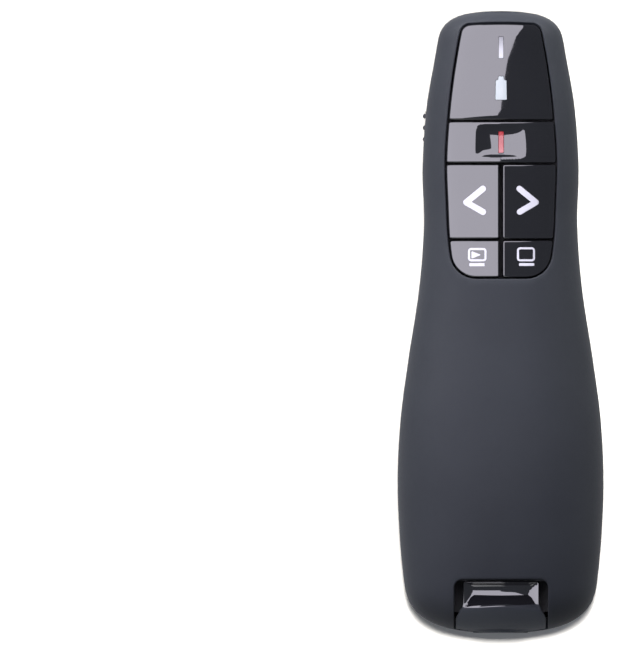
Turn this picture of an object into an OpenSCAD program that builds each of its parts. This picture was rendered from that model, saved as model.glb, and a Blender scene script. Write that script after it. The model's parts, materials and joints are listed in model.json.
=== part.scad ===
// Handheld presentation clicker: two-part case, keypad, laser, battery bay and a USB receiver in the tail.
// It lies on its back: +X right, +Y towards the nose, +Z up through the keys.

/* [Body] */
// Overall length, nose to tail
body_l = 115.5; // [113:0.5:122]
// Overall width at the tail bulb
body_w = 38.3; // [37.5:0.1:42]
// Overall height at the tail bulb
body_h = 27.4; // [27.2:0.1:30]
// Height of the joint line between the two halves
joint_z = 12; // [11.8:0.1:12.3]
// Thickness of the case walls
wall = 1.7; // [1.4:0.1:1.8]
// Length over which the nose rounds off
nose_cap = 6; // [4:0.5:8]
// Length over which the tail rounds off
tail_cap = 10; // [8:0.5:12]

/* [Keypad] */
// Distance from the nose end to the top of the keypad
pad_top = 2.4; // [2:0.1:4]
// Length of the fixed window panel
window_l = 17.8; // [14:0.1:18]
// Length of the laser key
laser_key_l = 7.5; // [6.5:0.1:8]
// Length of the previous and next keys
page_key_l = 13.8; // [11:0.1:14]
// Length of the play and blank keys
small_key_l = 6.8; // [6:0.1:7.5]
// Gap between neighbouring keys
key_gap = 0.45; // [0.35:0.05:0.6]
// Gap between the keys and the case
pad_gap = 0.35; // [0.3:0.05:0.5]
// Travel of a key
key_travel = 0.6; // [0.4:0.1:0.6]
// Radius of the keypad's two lower corners
pad_corner = 4.6; // [3:0.1:5]
// Length of the dish in the laser key, across the body
dish_w = 9.7; // [8:0.1:11]
// Width of the dish in the laser key, along the body
dish_l = 6; // [5:0.1:6.4]
// Depth of the dish
dish_deep = 0.7; // [0.3:0.1:0.9]
// Length of the light bars
bar_l = 4; // [3:0.1:4.5]
// Width of the light bars
bar_w = 1; // [0.8:0.1:1.4]

/* [Circuit board] */
// Thickness of the main board
board_t = 1.2; // [1:0.1:1.4]
// Depth of the main board's top face below the laser key's surface
board_deep = 8.73; // [8.63:0.01:8.83]
// Distance from the battery tray to the main board
board_gap = 2.1; // [1:0.1:3]
// Side of a key switch
switch_w = 4.5; // [4:0.1:5]
// Height of a key switch without its stem
switch_h = 2.1; // [1.8:0.1:2.1]
// Diameter of a key switch stem
stem_d = 2.2; // [1.8:0.1:2.6]

/* [Laser] */
// Diameter of the laser barrel
barrel_d = 6; // [5.5:0.1:6.2]
// Length of the laser barrel
barrel_l = 11; // [9:0.5:12]
// Gap between the laser barrel and the main board
barrel_gap = 0.4; // [0.3:0.1:0.6]
// Outer diameter of the aperture ring
ring_d = 6.5; // [6:0.1:6.8]

/* [Power switch] */
// Length of the thumb slide
knob_l = 6.2; // [5:0.1:7]
// Height of the thumb slide
knob_h = 4.4; // [3.5:0.1:4.6]
// Travel of the thumb slide
knob_travel = 2; // [1.5:0.1:2.2]
// Distance from the nose end to the middle of the thumb slide
knob_y = 21.6; // [20:0.1:22.5]

/* [Batteries] */
// Diameter of an AAA cell
cell_d = 10.5; // [10:0.1:10.5]
// Length of an AAA cell
cell_l = 44.5; // [43.5:0.1:44.5]
// Gap between the two cells
cell_gap = 0.4; // [0.3:0.1:0.8]
// Length of a compressed contact spring
spring_l = 3.4; // [2.5:0.1:4]
// Diameter of the spring wire
wire_d = 0.6; // [0.5:0.1:0.8]
// Thickness of the contact plates
plate_t = 0.35; // [0.3:0.05:0.5]
// Half width of the battery door
door_half_w = 12.35; // [12:0.05:12.6]
// Gap around the battery door
door_gap = 0.25; // [0.2:0.05:0.4]
// Distance from the tail end to the far edge of the battery door
door_l = 54.1; // [53.8:0.1:54.6]

/* [Receiver] */
// Width of the receiver
receiver_w = 16.8; // [16:0.1:17.5]
// Depth of the receiver's top face below the case's surface at the grip
receiver_deep = 3.13; // [2.93:0.01:3.53]
// Distance from the tip of the USB plug to the keypad
plug_room = 12.1; // [10:0.1:14]
// Length of the glossy grip at the tail
grip_l = 9.7; // [8.5:0.1:11]
// Length of the wider lip at the end of the grip
lip_l = 4.2; // [3.4:0.1:5]
// Half width of the grip ahead of the lip
grip_half = 7.15; // [6.6:0.05:7.4]
// Corner radius of the opening that the receiver slides out of
notch_corner = 1.6; // [0.8:0.1:2]
// Gap around the receiver
receiver_gap = 0.35; // [0.3:0.05:0.5]
// Width of the USB plug
plug_w = 12; // [11.9:0.1:12.1]
// Height of the USB plug
plug_h = 4.5; // [4.4:0.1:4.6]
// Length of the USB plug
plug_l = 11.75; // [11.5:0.05:12]

/* [Sticker] */
// Distance from the nose end to the top of the sticker
label_top = 11.6; // [11:0.1:14]
// Length of the sticker
label_l = 22.4; // [18:0.1:23]
// Half width of the sticker at its top
label_half_top = 8.4; // [7:0.1:8.6]
// Half width of the sticker at its foot
label_half_foot = 9.6; // [8:0.1:10]
// Thickness of the sticker
label_t = 0.18; // [0.12:0.02:0.24]

/* [Screws] */
// Diameter of a screw head
head_d = 3.6; // [3.2:0.1:3.8]
// Diameter of a screw shank
shank_d = 1.9; // [1.7:0.1:2]
// Distance of the screws from the middle line
screw_x = 5.9; // [5.8:0.1:6.2]

/* [Hidden] */
$fn = 48;

// Shape of the case. Each pair is a place along the body (-1 tail, 1 nose) and a share of the full size there.
WIDTH_SHARE = [[-1, 0.883], [-0.857, 0.932], [-0.701, 0.978], [-0.509, 1], [-0.315, 0.972], [-0.121, 0.896],
    [0.109, 0.791], [0.312, 0.745], [0.495, 0.758], [0.693, 0.718], [0.843, 0.642], [1, 0.56]];
TOP_SHARE = [[-1, 0.74], [-0.866, 0.875], [-0.693, 0.965], [-0.5, 1], [-0.26, 0.968], [0, 0.89],
    [0.346, 0.8], [0.606, 0.742], [0.831, 0.688], [1, 0.63]];
BACK_SHARE = [[-1, 0.8], [-0.866, 0.93], [-0.693, 1.005], [-0.5, 1.02], [-0.31, 0.985], [-0.139, 0.9],
    [0.035, 0.79], [0.208, 0.755], [0.381, 0.8], [0.589, 0.9], [0.762, 0.99], [0.866, 1.015], [1, 0.85]];
TOP_ROUND = 2.5;    // exponent of the upper half's cross section
BACK_ROUND = 2.5;   // exponent of the lower half's cross section
NOSE_ROUND = 3;     // exponent of the nose's end curve
TAIL_ROUND = 2.8;   // exponent of the tail's end curve
END_ROUND = 3.2;    // exponent of both ends seen from the side
NOSE_FLAT = 0.4;    // share of the width that stays flat at the nose end
TAIL_FLAT = 0.3;    // share of the width that stays flat at the tail end
END_FLAT = 0.6;     // share of the height that stays flat at both ends
END_LONG = 0.8;     // length of the end curve seen from the side, against that seen from above
ARC_STEPS = 21;     // odd, so that the middle strip of the back is level
CAP_STEPS = 6;
MID_STEPS = 24;

half_l = body_l / 2;
half_w = body_w / 2;
nose_y = half_l;
tail_y = -half_l;
big = 200;
fit = 0.1;

// Keypad levels and places
pad_y1 = nose_y - pad_top;
window_y0 = pad_y1 - window_l;
laser_y1 = window_y0 - key_gap;
laser_y0 = laser_y1 - laser_key_l;
page_y1 = laser_y0 - key_gap;
page_y0 = page_y1 - page_key_l;
small_y1 = page_y0 - key_gap;
pad_y0 = small_y1 - small_key_l;
laser_mid = (laser_y0 + laser_y1) / 2;
page_mid = (page_y0 + page_y1) / 2;
small_mid = (pad_y0 + small_y1) / 2;
key_x = 4.9;
board_top = joint_z + rise(laser_mid) - board_deep;
frame_t = 1;
frame_top = board_top + 3.4;
key_bottom = frame_top + key_travel + 0.3;
switch_top = board_top + switch_h;
stem_top = switch_top + key_travel + 0.2;
boss_d = stem_d + 1;
sink = 0.08;
window_bottom = frame_top;
battery_bar_y = pad_y1 - 11.6;
status_bar_y = pad_y1 - 4.4;

// Board
board_bottom = board_top - board_t;
board_half = 10.9;
board_y1 = nose_y - 5.8;

// Laser
laser_z = board_bottom - barrel_gap - barrel_d / 2;
ring_len = 1.8;
barrel_y1 = nose_y - ring_len - 1.6;
barrel_y0 = barrel_y1 - barrel_l;
saddle_l = 3;

// Screws
screw_ys = [nose_y - 14.3, nose_y - 30.2];
boss_out = 4.6;
head_z = board_top - 6.8;
head_h = 1.2;
screw_l = 8.6;

// Power switch
slide_y = nose_y - knob_y;
slide_z = board_bottom - 4.2;
pocket_deep = 1.1;
knob_out = 0.35;
neck_l = 2.4;
neck_h = 1.6;
side_x = half_w * curve(slide_y / half_l, WIDTH_SHARE);
pocket_x = -(side_x - pocket_deep);
inner_x = -(side_x - wall);
switch_body = [3.2, 8, 4.7];
switch_x = -10;

// Battery bay
cell_r = cell_d / 2;
cell_x = (cell_d + cell_gap) / 2;
cell_z = wall + 2.3 + cell_r;
door_y1 = tail_y + door_l;
bay_y1 = door_y1 - 0.85;
bay_y0 = bay_y1 - cell_l - spring_l - 2 * plate_t;
roof_t = 0.8;
roof_bottom = cell_z + cell_r + 0.25;
roof_top = roof_bottom + roof_t;
tray_half = cell_x + cell_r + 0.3;
tray_wall = 0.8;
board_y0 = bay_y1 + tray_wall + board_gap;
nub_d = 3.8;
nub_l = 1;
spring_d = 5.4;
spring_turns = 4;

// Receiver
receiver_z = roof_top + receiver_gap;
grip_y = tail_y + grip_l;
receiver_top = joint_z + rise(grip_y) - receiver_deep;
receiver_split = (receiver_z + receiver_top) / 2;
receiver_y1 = pad_y0 - plug_room - plug_l;
plug_z = receiver_split - plug_h / 2;
plug_t = 0.3;
plug_root = 3;
housing_wall = 0.9;

// ---- Curves -------------------------------------------------------------

function slope(t, k) =
    let(a = max(k - 1, 0), b = min(k + 1, len(t) - 1))
    (t[b][1] - t[a][1]) / (t[b][0] - t[a][0]);

function span(s, t, k = 0) = k >= len(t) - 2 || s <= t[k + 1][0] ? k : span(s, t, k + 1);

// Smooth curve through the pairs of t
function curve(s, t) =
    let(k = span(s, t), h = t[k + 1][0] - t[k][0], u = (s - t[k][0]) / h)
    t[k][1] * (1 + 2 * u) * pow(1 - u, 2) + slope(t, k) * h * u * pow(1 - u, 2)
    + t[k + 1][1] * u * u * (3 - 2 * u) + slope(t, k + 1) * h * u * u * (u - 1);

// Share of the size left at a depth d inside an end curve of length l
function end_share(d, l, power, flat) =
    d <= 0 ? 1 : max(flat, pow(max(0, 1 - pow(min(d / l, 1), power)), 1 / power));

function width_end(y) = y > 0
    ? end_share(y - half_l + nose_cap, nose_cap, NOSE_ROUND, NOSE_FLAT)
    : end_share(-y - half_l + tail_cap, tail_cap, TAIL_ROUND, TAIL_FLAT);

function height_end(y) = y > 0
    ? end_share(y - half_l + nose_cap * END_LONG, nose_cap * END_LONG, END_ROUND, END_FLAT)
    : end_share(-y - half_l + tail_cap * END_LONG, tail_cap * END_LONG, END_ROUND, END_FLAT);

function half_width(y) = half_w * curve(y / half_l, WIDTH_SHARE) * width_end(y);
function rise(y) = (body_h - joint_z) * curve(y / half_l, TOP_SHARE) * height_end(y);
function depth(y) = joint_z * curve(y / half_l, BACK_SHARE) * height_end(y);

STATIONS = concat(
    [for (k = [0:CAP_STEPS - 1]) -(half_l - tail_cap + tail_cap * cos(90 * k / CAP_STEPS))],
    [for (k = [0:MID_STEPS]) let(a = half_l - tail_cap, b = half_l - nose_cap) -a + (a + b) * k / MID_STEPS],
    [for (k = [1:CAP_STEPS]) half_l - nose_cap + nose_cap * sin(90 * k / CAP_STEPS)]
);

// ---- Case surfaces ------------------------------------------------------

function squeeze(c, power) = sign(c) * pow(abs(c), 2 / power);

// One point of the case's surface, moved in by inset; up is 1 for the upper half and -1 for the lower
function skin_point(y, turn, up, inset) =
    let(
        x = (half_width(y) - inset) * squeeze(cos(turn), up > 0 ? TOP_ROUND : BACK_ROUND),
        z = up > 0
            ? (rise(y) - inset) * squeeze(sin(turn), TOP_ROUND)
            : -min(depth(y) * squeeze(sin(turn), BACK_ROUND), joint_z) + inset * squeeze(sin(turn), BACK_ROUND)
    )
    [x, y * (half_l - inset) / half_l, joint_z + z];

function skin_points(up, inset) =
    [for (y = STATIONS) for (i = [0:ARC_STEPS]) skin_point(y, 180 * i / ARC_STEPS, up, inset)];

function at(j, i, layer = 0) = (layer * len(STATIONS) + j) * (ARC_STEPS + 1) + i;
function turned(faces, flip) = flip ? [for (f = faces) [for (k = [len(f) - 1:-1:0]) f[k]]] : faces;

function skin_faces(layer) = concat(
    [for (j = [0:len(STATIONS) - 2]) for (i = [0:ARC_STEPS - 1])
        [at(j, i, layer), at(j + 1, i, layer), at(j + 1, i + 1, layer)]],
    [for (j = [0:len(STATIONS) - 2]) for (i = [0:ARC_STEPS - 1])
        [at(j, i, layer), at(j + 1, i + 1, layer), at(j, i + 1, layer)]],
    [[for (i = [0:ARC_STEPS]) at(0, i, layer)]],
    [[for (i = [ARC_STEPS:-1:0]) at(len(STATIONS) - 1, i, layer)]]
);

// Solid half of the case, moved in by inset
module half_solid(up, inset = 0) {
    last = len(STATIONS) - 1;
    rim = concat([for (j = [last:-1:0]) at(j, 0)], [for (j = [0:last]) at(j, ARC_STEPS)]);
    polyhedron(skin_points(up, inset), turned(concat(skin_faces(0), [rim]), up > 0), convexity = 4);
}

// Hollow half of the case with its wall
module half_shell(up) {
    last = len(STATIONS) - 1;
    n = ARC_STEPS;
    rim = concat(
        [for (j = [0:last - 1]) [at(j, 0), at(j, 0, 1), at(j + 1, 0, 1), at(j + 1, 0)]],
        [for (j = [0:last - 1]) [at(j, n), at(j + 1, n), at(j + 1, n, 1), at(j, n, 1)]],
        [[at(0, 0), at(0, n), at(0, n, 1), at(0, 0, 1)]],
        [[at(last, 0), at(last, 0, 1), at(last, n, 1), at(last, n)]]
    );
    points = concat(skin_points(up, 0), skin_points(up, wall));
    faces = concat(skin_faces(0), turned(skin_faces(1), true), rim);
    polyhedron(points, turned(faces, up > 0), convexity = 6);
}

// ---- Shared helpers -----------------------------------------------------

module block(x0, x1, y0, y1, z0, z1) {
    translate([x0, y0, z0]) cube([x1 - x0, y1 - y0, z1 - z0]);
}

module rod(d, l) {
    rotate([-90, 0, 0]) cylinder(d = d, h = l);
}

module rounded(r) {
    offset(r = r) offset(delta = -r) children();
}

// Side line of the keypad seen from above, from its foot to its top
PAD_SHARE = [[0, 0.85], [0.15, 0.945], [0.3, 0.98], [0.455, 1], [0.62, 0.955], [0.8, 0.86], [1, 0.705]];
pad_half = 10.15;
pad_l = pad_y1 - pad_y0;

function pad_side(s) = pad_half * curve(s, PAD_SHARE);

module pad_sides() {
    right = [for (s = [0:0.1:1.001]) [pad_side(s), pad_y0 + pad_l * s]];
    left = [for (s = [1:-0.1:-0.001]) [-pad_side(s), pad_y0 + pad_l * s]];
    polygon(concat(right, left));
}

module pad_outline(grow = 0) {
    offset(delta = grow, $fn = 24) union() {
        intersection() {
            rounded(pad_corner, $fn = 32) pad_sides();
            translate([-big / 2, pad_y0 - 1]) square([big, pad_l / 2 + 1]);
        }
        intersection() {
            rounded(1.3, $fn = 20) pad_sides();
            translate([-big / 2, pad_y0 + pad_l / 2 - 0.01]) square([big, pad_l]);
        }
    }
}

// Outline of one key: the part of the keypad between two lines across it, on one side or on both
module key_outline(y0, y1, side = 0) {
    x0 = side > 0 ? key_gap * 0.8 : -big / 2;
    x1 = side < 0 ? -key_gap * 0.8 : big / 2;
    rounded(0.35, $fn = 16) intersection() {
        pad_outline();
        translate([x0, y0]) square([x1 - x0, y1 - y0]);
    }
}

// A key or panel: its outline carried up to the case's surface
module pad_piece(z0, y0, y1, side = 0) {
    intersection() {
        translate([0, 0, z0]) linear_extrude(big) key_outline(y0, y1, side);
        half_solid(1, sink);
    }
}

module key_boss(x, y) {
    translate([x, y, stem_top]) cylinder(d = boss_d, h = key_bottom - stem_top + 0.4);
}

module bar_outline(y) {
    translate([0, y]) square([bar_w, bar_l], center = true);
}

module battery_outline() {
    translate([0, battery_bar_y - 0.35]) square([2.2, 3.8], center = true);
    translate([0, battery_bar_y + 1.85]) square([1.1, 0.8], center = true);
}

module at_switches() {
    for (p = [[0, laser_mid], [-key_x, page_mid], [key_x, page_mid], [-key_x, small_mid], [key_x, small_mid]])
        translate([p[0], p[1], 0]) children();
}

module at_screws() {
    for (x = [-screw_x, screw_x])
        for (y = screw_ys)
            translate([x, y, 0]) children();
}

// ---- Case ---------------------------------------------------------------

module switch_cut() {
    y0 = slide_y - knob_l / 2 - knob_travel - 0.3;
    y1 = slide_y + knob_l / 2 + 1;
    block(-big / 2, pocket_x, y0, y1, slide_z - knob_h / 2 - 0.3, slide_z + knob_h / 2 + 0.3);
    neck_y0 = slide_y - neck_l / 2 - knob_travel - 0.2;
    neck_y1 = slide_y + neck_l / 2 + 0.2;
    block(-big / 2, inner_x + 3, neck_y0, neck_y1, slide_z - neck_h / 2 - 0.2, slide_z + neck_h / 2 + 0.2);
}

module nose_bore(d) {
    translate([0, nose_y - 6, laser_z]) rod(d, 12);
}

module receiver_bay() {
    half = receiver_w / 2 + receiver_gap;
    translate([0, 0, receiver_z - receiver_gap]) linear_extrude(big) rounded(notch_corner, $fn = 32)
        translate([-half, tail_y - 10]) square([2 * half, grip_y + receiver_gap - tail_y + 10]);
}

module front_shell() {
    color([0.25, 0.26, 0.28]) {
        difference() {
            union() {
                half_shell(1);
                // Well wall that guides the keys and carries the tray behind them
                intersection() {
                    translate([0, 0, frame_top]) linear_extrude(big) difference() {
                        pad_outline(pad_gap + 1);
                        pad_outline(pad_gap);
                    }
                    half_solid(1, 0.6);
                }
            }
            translate([0, 0, frame_top - 1]) linear_extrude(big) pad_outline(pad_gap);
            receiver_bay();
            switch_cut();
            nose_bore(ring_d + fit);
        }
    }
}

module door_cut(grow) {
    half = door_half_w + grow;
    block(-half, half, tail_y - 5, door_y1 + grow, -5, joint_z);
}

module label_outline(grow) {
    y1 = nose_y - label_top;
    offset(r = 1.6 + grow, $fn = 24) offset(delta = -1.6) polygon([
        [-label_half_top, y1], [label_half_top, y1],
        [label_half_foot, y1 - label_l], [-label_half_foot, y1 - label_l]
    ]);
}

module label_layer(grow, outer, inner) {
    difference() {
        intersection() {
            translate([0, 0, -1]) linear_extrude(joint_z - 2) label_outline(grow);
            half_solid(-1, outer);
        }
        half_solid(-1, inner);
    }
}

label_deep = label_t + 0.12;

module rear_shell() {
    color([0.21, 0.22, 0.24]) difference() {
        union() {
            half_shell(-1);
            at_screws() translate([0, 0, 2.5]) cylinder(d = boss_out, h = board_bottom - 2.5);
        }
        at_screws() {
            translate([0, 0, -1]) cylinder(d = head_d + 0.4, h = head_z + 1);
            cylinder(d = shank_d + 0.3, h = big);
        }
        difference() {
            translate([0, 0, -1]) linear_extrude(joint_z - 2) label_outline(0.25);
            half_solid(-1, label_deep);
        }
        door_cut(door_gap);
        switch_cut();
        nose_bore(ring_d + fit);
    }
}

module battery_door() {
    color([0.21, 0.22, 0.24]) intersection() {
        half_shell(-1);
        door_cut(0);
    }
}

module label_sticker() {
    color([0.96, 0.88, 0.1]) label_layer(0, label_deep - label_t, label_deep);
}

// ---- Keypad -------------------------------------------------------------

module keypad_frame() {
    color([0.05, 0.05, 0.06]) difference() {
        union() {
            intersection() {
                translate([0, 0, frame_top - frame_t]) linear_extrude(frame_t) pad_outline(pad_gap + 0.9);
                half_solid(1, wall + 0.15);
            }
            at_screws() translate([0, 0, board_top])
                cylinder(d = boss_out - 0.6, h = frame_top - board_top - 0.2);
        }
        at_switches() cylinder(d = boss_d + 0.6, h = big);
        translate([0, 0, -1]) linear_extrude(big) {
            bar_outline(status_bar_y);
            battery_outline();
        }
        at_screws() cylinder(d = shank_d + 0.05, h = head_z + screw_l + 0.6);
    }
}

module window_panel() {
    color([0.12, 0.12, 0.13]) difference() {
        pad_piece(window_bottom, window_y0, pad_y1);
        translate([0, 0, window_bottom - 1]) linear_extrude(big) {
            bar_outline(status_bar_y);
            battery_outline();
        }
    }
}

// Light guide from just above its diode to the surface of the panel
module light_pipe() {
    intersection() {
        translate([0, 0, board_top + led_h + 0.1]) linear_extrude(big) offset(delta = -0.05) children();
        half_solid(1, sink);
    }
}

module status_light_pipe() {
    color([0.85, 0.87, 0.9]) light_pipe() bar_outline(status_bar_y);
}

module battery_light_pipe() {
    color([0.8, 0.84, 0.9]) light_pipe() battery_outline();
}

module laser_dish() {
    r = 14;
    top = joint_z + rise(laser_mid);
    translate([0, laser_mid, 0]) intersection() {
        linear_extrude(big) rounded(1.2, $fn = 16) square([dish_w, dish_l], center = true);
        translate([-dish_w, 0, top + r - dish_deep]) rotate([0, 90, 0])
            cylinder(r = r, h = 2 * dish_w, $fn = 96);
    }
}

module laser_button() {
    color([0.12, 0.12, 0.13]) {
        difference() {
            union() {
                pad_piece(key_bottom, laser_y0, laser_y1);
                key_boss(0, laser_mid);
            }
            laser_dish();
            translate([0, 0, key_bottom + 1]) linear_extrude(big) bar_outline(laser_mid - 0.05);
        }
    }
}

module laser_button_light() {
    color([0.85, 0.1, 0.08]) difference() {
        intersection() {
            translate([0, 0, key_bottom + 1]) linear_extrude(big)
                offset(delta = -0.03) bar_outline(laser_mid - 0.05);
            half_solid(1, sink);
        }
        laser_dish();
    }
}

module corner_button(y0, y1, side) {
    color([0.12, 0.12, 0.13]) {
        pad_piece(key_bottom, y0, y1, side);
        key_boss(side * key_x, (y0 + y1) / 2);
    }
}

module previous_button() {
    corner_button(page_y0, page_y1, -1);
}

module next_button() {
    corner_button(page_y0, page_y1, 1);
}

module play_button() {
    corner_button(pad_y0, small_y1, -1);
}

module blank_screen_button() {
    corner_button(pad_y0, small_y1, 1);
}

// ---- Main board ---------------------------------------------------------

module switch_stem(x, y) {
    color([0.1, 0.1, 0.1]) translate([x, y, stem_top - 1.6]) cylinder(d = stem_d, h = 1.6);
}

module laser_switch_stem() {
    switch_stem(0, laser_mid);
}

module previous_switch_stem() {
    switch_stem(-key_x, page_mid);
}

module next_switch_stem() {
    switch_stem(key_x, page_mid);
}

module play_switch_stem() {
    switch_stem(-key_x, small_mid);
}

module blank_switch_stem() {
    switch_stem(key_x, small_mid);
}

module key_switches() {
    color([0.75, 0.76, 0.78]) at_switches() difference() {
        translate([-switch_w / 2, -switch_w / 2, board_top]) cube([switch_w, switch_w, switch_h]);
        translate([0, 0, board_top + 0.15]) cylinder(d = stem_d + 0.3, h = big);
    }
}

module circuit_board() {
    shoulder = nose_y - 20;
    color([0.05, 0.35, 0.18]) difference() {
        translate([0, 0, board_bottom]) linear_extrude(board_t) polygon([
            [-board_half, board_y0], [board_half, board_y0], [board_half, shoulder],
            [board_half - 3.6, board_y1], [-board_half + 3.6, board_y1], [-board_half, shoulder]
        ]);
        at_screws() cylinder(d = shank_d + 0.5, h = big);
    }
}

// Row between the lower two pairs of keys, where the chips sit
chip_y = (small_mid + page_mid) / 2;
led_h = 1.2;

module chip(x, y, w, l, h) {
    block(x - w / 2, x + w / 2, y - l / 2, y + l / 2, board_top, board_top + h);
}

module controller_chip() {
    color([0.07, 0.07, 0.08]) chip(4.2, chip_y, 6, 4, 1.2);
}

module radio_chip() {
    color([0.07, 0.07, 0.08]) chip(-4.5, chip_y, 4, 4, 0.9);
}

module crystal() {
    color([0.75, 0.76, 0.78]) chip(-0.2, chip_y, 2, 3.2, 1);
}

module status_led() {
    color([0.9, 0.9, 0.85]) chip(0, status_bar_y, 1.6, 3, led_h);
}

module battery_led() {
    color([0.9, 0.9, 0.85]) chip(0, battery_bar_y, 1.6, 3, led_h);
}

// ---- Laser --------------------------------------------------------------

module on_axis(y) {
    translate([0, y, laser_z]) children();
}

module laser_barrel() {
    color([0.75, 0.6, 0.3]) difference() {
        on_axis(barrel_y0) rod(barrel_d, barrel_l);
        on_axis(barrel_y0 - 1) rod(3, barrel_l + 2);
        on_axis(barrel_y0 - 1) rod(4.4, 3.4);
        on_axis(barrel_y1 - 1.6) rod(4.2, 3);
    }
}

module laser_diode() {
    color([0.8, 0.8, 0.8]) {
        on_axis(barrel_y0) rod(4.4 - fit, 2.4);
        on_axis(barrel_y0 - 0.8) rod(5.4, 0.8);
    }
}

module laser_lens() {
    color([0.8, 0.9, 0.95]) on_axis(barrel_y1 - 1.6) rod(4.2 - fit, 1.2);
}

// Two stiff leads from the diode up to the board
module laser_leads() {
    reach = 2.4;
    lead_d = 0.5;
    y = barrel_y0 - 0.8 - reach;
    color([0.85, 0.75, 0.5]) for (x = [-1.2, 1.2]) translate([x, 0, 0]) {
        translate([0, y, laser_z]) rod(lead_d, reach);
        translate([0, y, laser_z]) cylinder(d = lead_d, h = board_bottom - laser_z);
        translate([0, y, laser_z]) sphere(d = lead_d);
    }
}

// Saddle under the board that carries the barrel
module laser_holder() {
    y0 = barrel_y1 - saddle_l - 2;
    half = barrel_d / 2 + 0.9;
    color([0.12, 0.12, 0.13]) difference() {
        block(-half + 0.4, half - 0.4, y0, y0 + saddle_l, wall + 1.1, board_bottom);
        on_axis(y0 - 1) rod(barrel_d + 0.1, saddle_l + 2);
    }
}

module aperture_ring() {
    color([0.7, 0.71, 0.74]) difference() {
        on_axis(nose_y - ring_len - 0.5) rod(ring_d, ring_len + 0.3);
        on_axis(nose_y - ring_len - 1) rod(ring_d - 1.8, 10);
    }
}

module aperture_window() {
    color([0.55, 0.5, 0.5]) on_axis(nose_y - ring_len) rod(ring_d - 1.8 - 0.06, 0.8);
}

// ---- Power switch -------------------------------------------------------

knob_face = -(side_x - pocket_deep + 0.2);

module power_switch_knob() {
    prong_y = 0.9;
    color([0.16, 0.17, 0.18]) {
        // Outer cap with three ridges
        block(-(side_x - 0.25), knob_face, slide_y - knob_l / 2, slide_y + knob_l / 2,
            slide_z - knob_h / 2, slide_z + knob_h / 2);
        for (k = [-1:1])
            block(-(side_x + knob_out), -(side_x - 0.4), slide_y + k * 2.15 - 0.4, slide_y + k * 2.15 + 0.4,
                slide_z - knob_h / 2 + 0.3, slide_z + knob_h / 2 - 0.3);
        // Neck through the case
        block(knob_face - 0.1, inner_x + 0.75, slide_y - neck_l / 2, slide_y + neck_l / 2,
            slide_z - neck_h / 2, slide_z + neck_h / 2);
        // Fork that holds the actuator
        for (s = [-1, 1])
            block(inner_x + 0.65, switch_x - 0.3, slide_y + s * (prong_y + 0.4) - 0.3,
                slide_y + s * (prong_y + 0.4) + 0.3, slide_z, slide_z + 1.3);
        block(inner_x + 0.65, inner_x + 1.05, slide_y - 1.6, slide_y + 1.6, slide_z - 0.2, slide_z + 1.5);
    }
}

module power_switch_actuator() {
    color([0.06, 0.06, 0.06]) block(inner_x + 1.3, switch_x + 1.2, slide_y - 0.9, slide_y + 0.9,
        slide_z + 0.2, slide_z + 1.3);
}

module power_switch_body() {
    color([0.75, 0.76, 0.78]) difference() {
        block(switch_x, switch_x + switch_body[0], slide_y - 4.6, slide_y - 4.6 + switch_body[1],
            board_bottom - switch_body[2], board_bottom);
        block(switch_x - 1, switch_x + 1.4, slide_y - 0.9 - knob_travel - 0.2, slide_y + 0.9 + 0.2,
            slide_z + 0.1, slide_z + 1.5);
    }
}

// ---- Batteries ----------------------------------------------------------

// End wall of the battery bay up to top; steps are its half widths and heights down one side
module tray_end(y, top, steps) {
    right = concat([[tray_half, top]], steps);
    left = [for (k = [len(right) - 1:-1:0]) [-right[k][0], right[k][1]]];
    translate([0, y + tray_wall, 0]) rotate([90, 0, 0]) linear_extrude(tray_wall) polygon(concat(right, left));
}

module battery_tray() {
    back = bay_y0 - tray_wall;
    front = bay_y1 + tray_wall;
    wall_top = roof_bottom + 0.1;
    slot_z = min(board_bottom - plate_t - 0.1, roof_bottom);
    color([0.14, 0.14, 0.15]) difference() {
        union() {
            // Deck that reaches from side to side and carries the tray in the upper half
            intersection() {
                block(-big / 2, big / 2, back, front, roof_bottom, roof_top);
                half_solid(1, wall + 0.12);
            }
            tray_end(bay_y1, max(wall_top, board_bottom + 1), [[tray_half, wall + 6.8], [7, wall + 3.3]]);
            tray_end(back, wall_top, [[tray_half, wall + 8.8], [tray_half - 1.5, wall + 6.5], [5.5, wall + 4.7]]);
        }
        // Slots for the tabs that reach the board
        for (x = [-cell_x, cell_x])
            block(x - 1.6, x + 1.6, bay_y1 - 1, front + 1, slot_z, board_bottom + 0.1);
    }
}

// A cell that points to the nose (dir 1) or to the tail (dir -1)
module cell(x, dir) {
    tail_end = dir > 0 ? bay_y1 - plate_t - cell_l : bay_y0 + plate_t;
    translate([x, tail_end + cell_l / 2, cell_z]) rotate([0, 0, dir > 0 ? 0 : 180]) {
        translate([0, -cell_l / 2, 0]) rod(cell_d, cell_l - nub_l);
        translate([0, cell_l / 2 - nub_l - 0.2, 0]) rod(nub_d, nub_l + 0.2);
    }
}

module battery_cell_left() {
    color([0.7, 0.72, 0.75]) cell(-cell_x, 1);
}

module battery_cell_right() {
    color([0.7, 0.72, 0.75]) cell(cell_x, -1);
}

module contact_face(x) {
    block(x - 3.6, x + 3.6, bay_y1 - plate_t, bay_y1, cell_z - 3.4, cell_z + 3.4);
}

module contact_tab(x) {
    block(x - 1.4, x + 1.4, bay_y1 - plate_t, board_y0 + 2, board_bottom - plate_t, board_bottom);
    block(x - 1.4, x + 1.4, bay_y1 - plate_t, bay_y1, cell_z, board_bottom - plate_t / 2);
}

module positive_contact() {
    color([0.85, 0.85, 0.87]) {
        contact_face(-cell_x);
        contact_tab(-cell_x);
    }
}

module negative_contact() {
    color([0.85, 0.85, 0.87]) {
        contact_face(cell_x);
        contact_tab(cell_x);
    }
}

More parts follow.
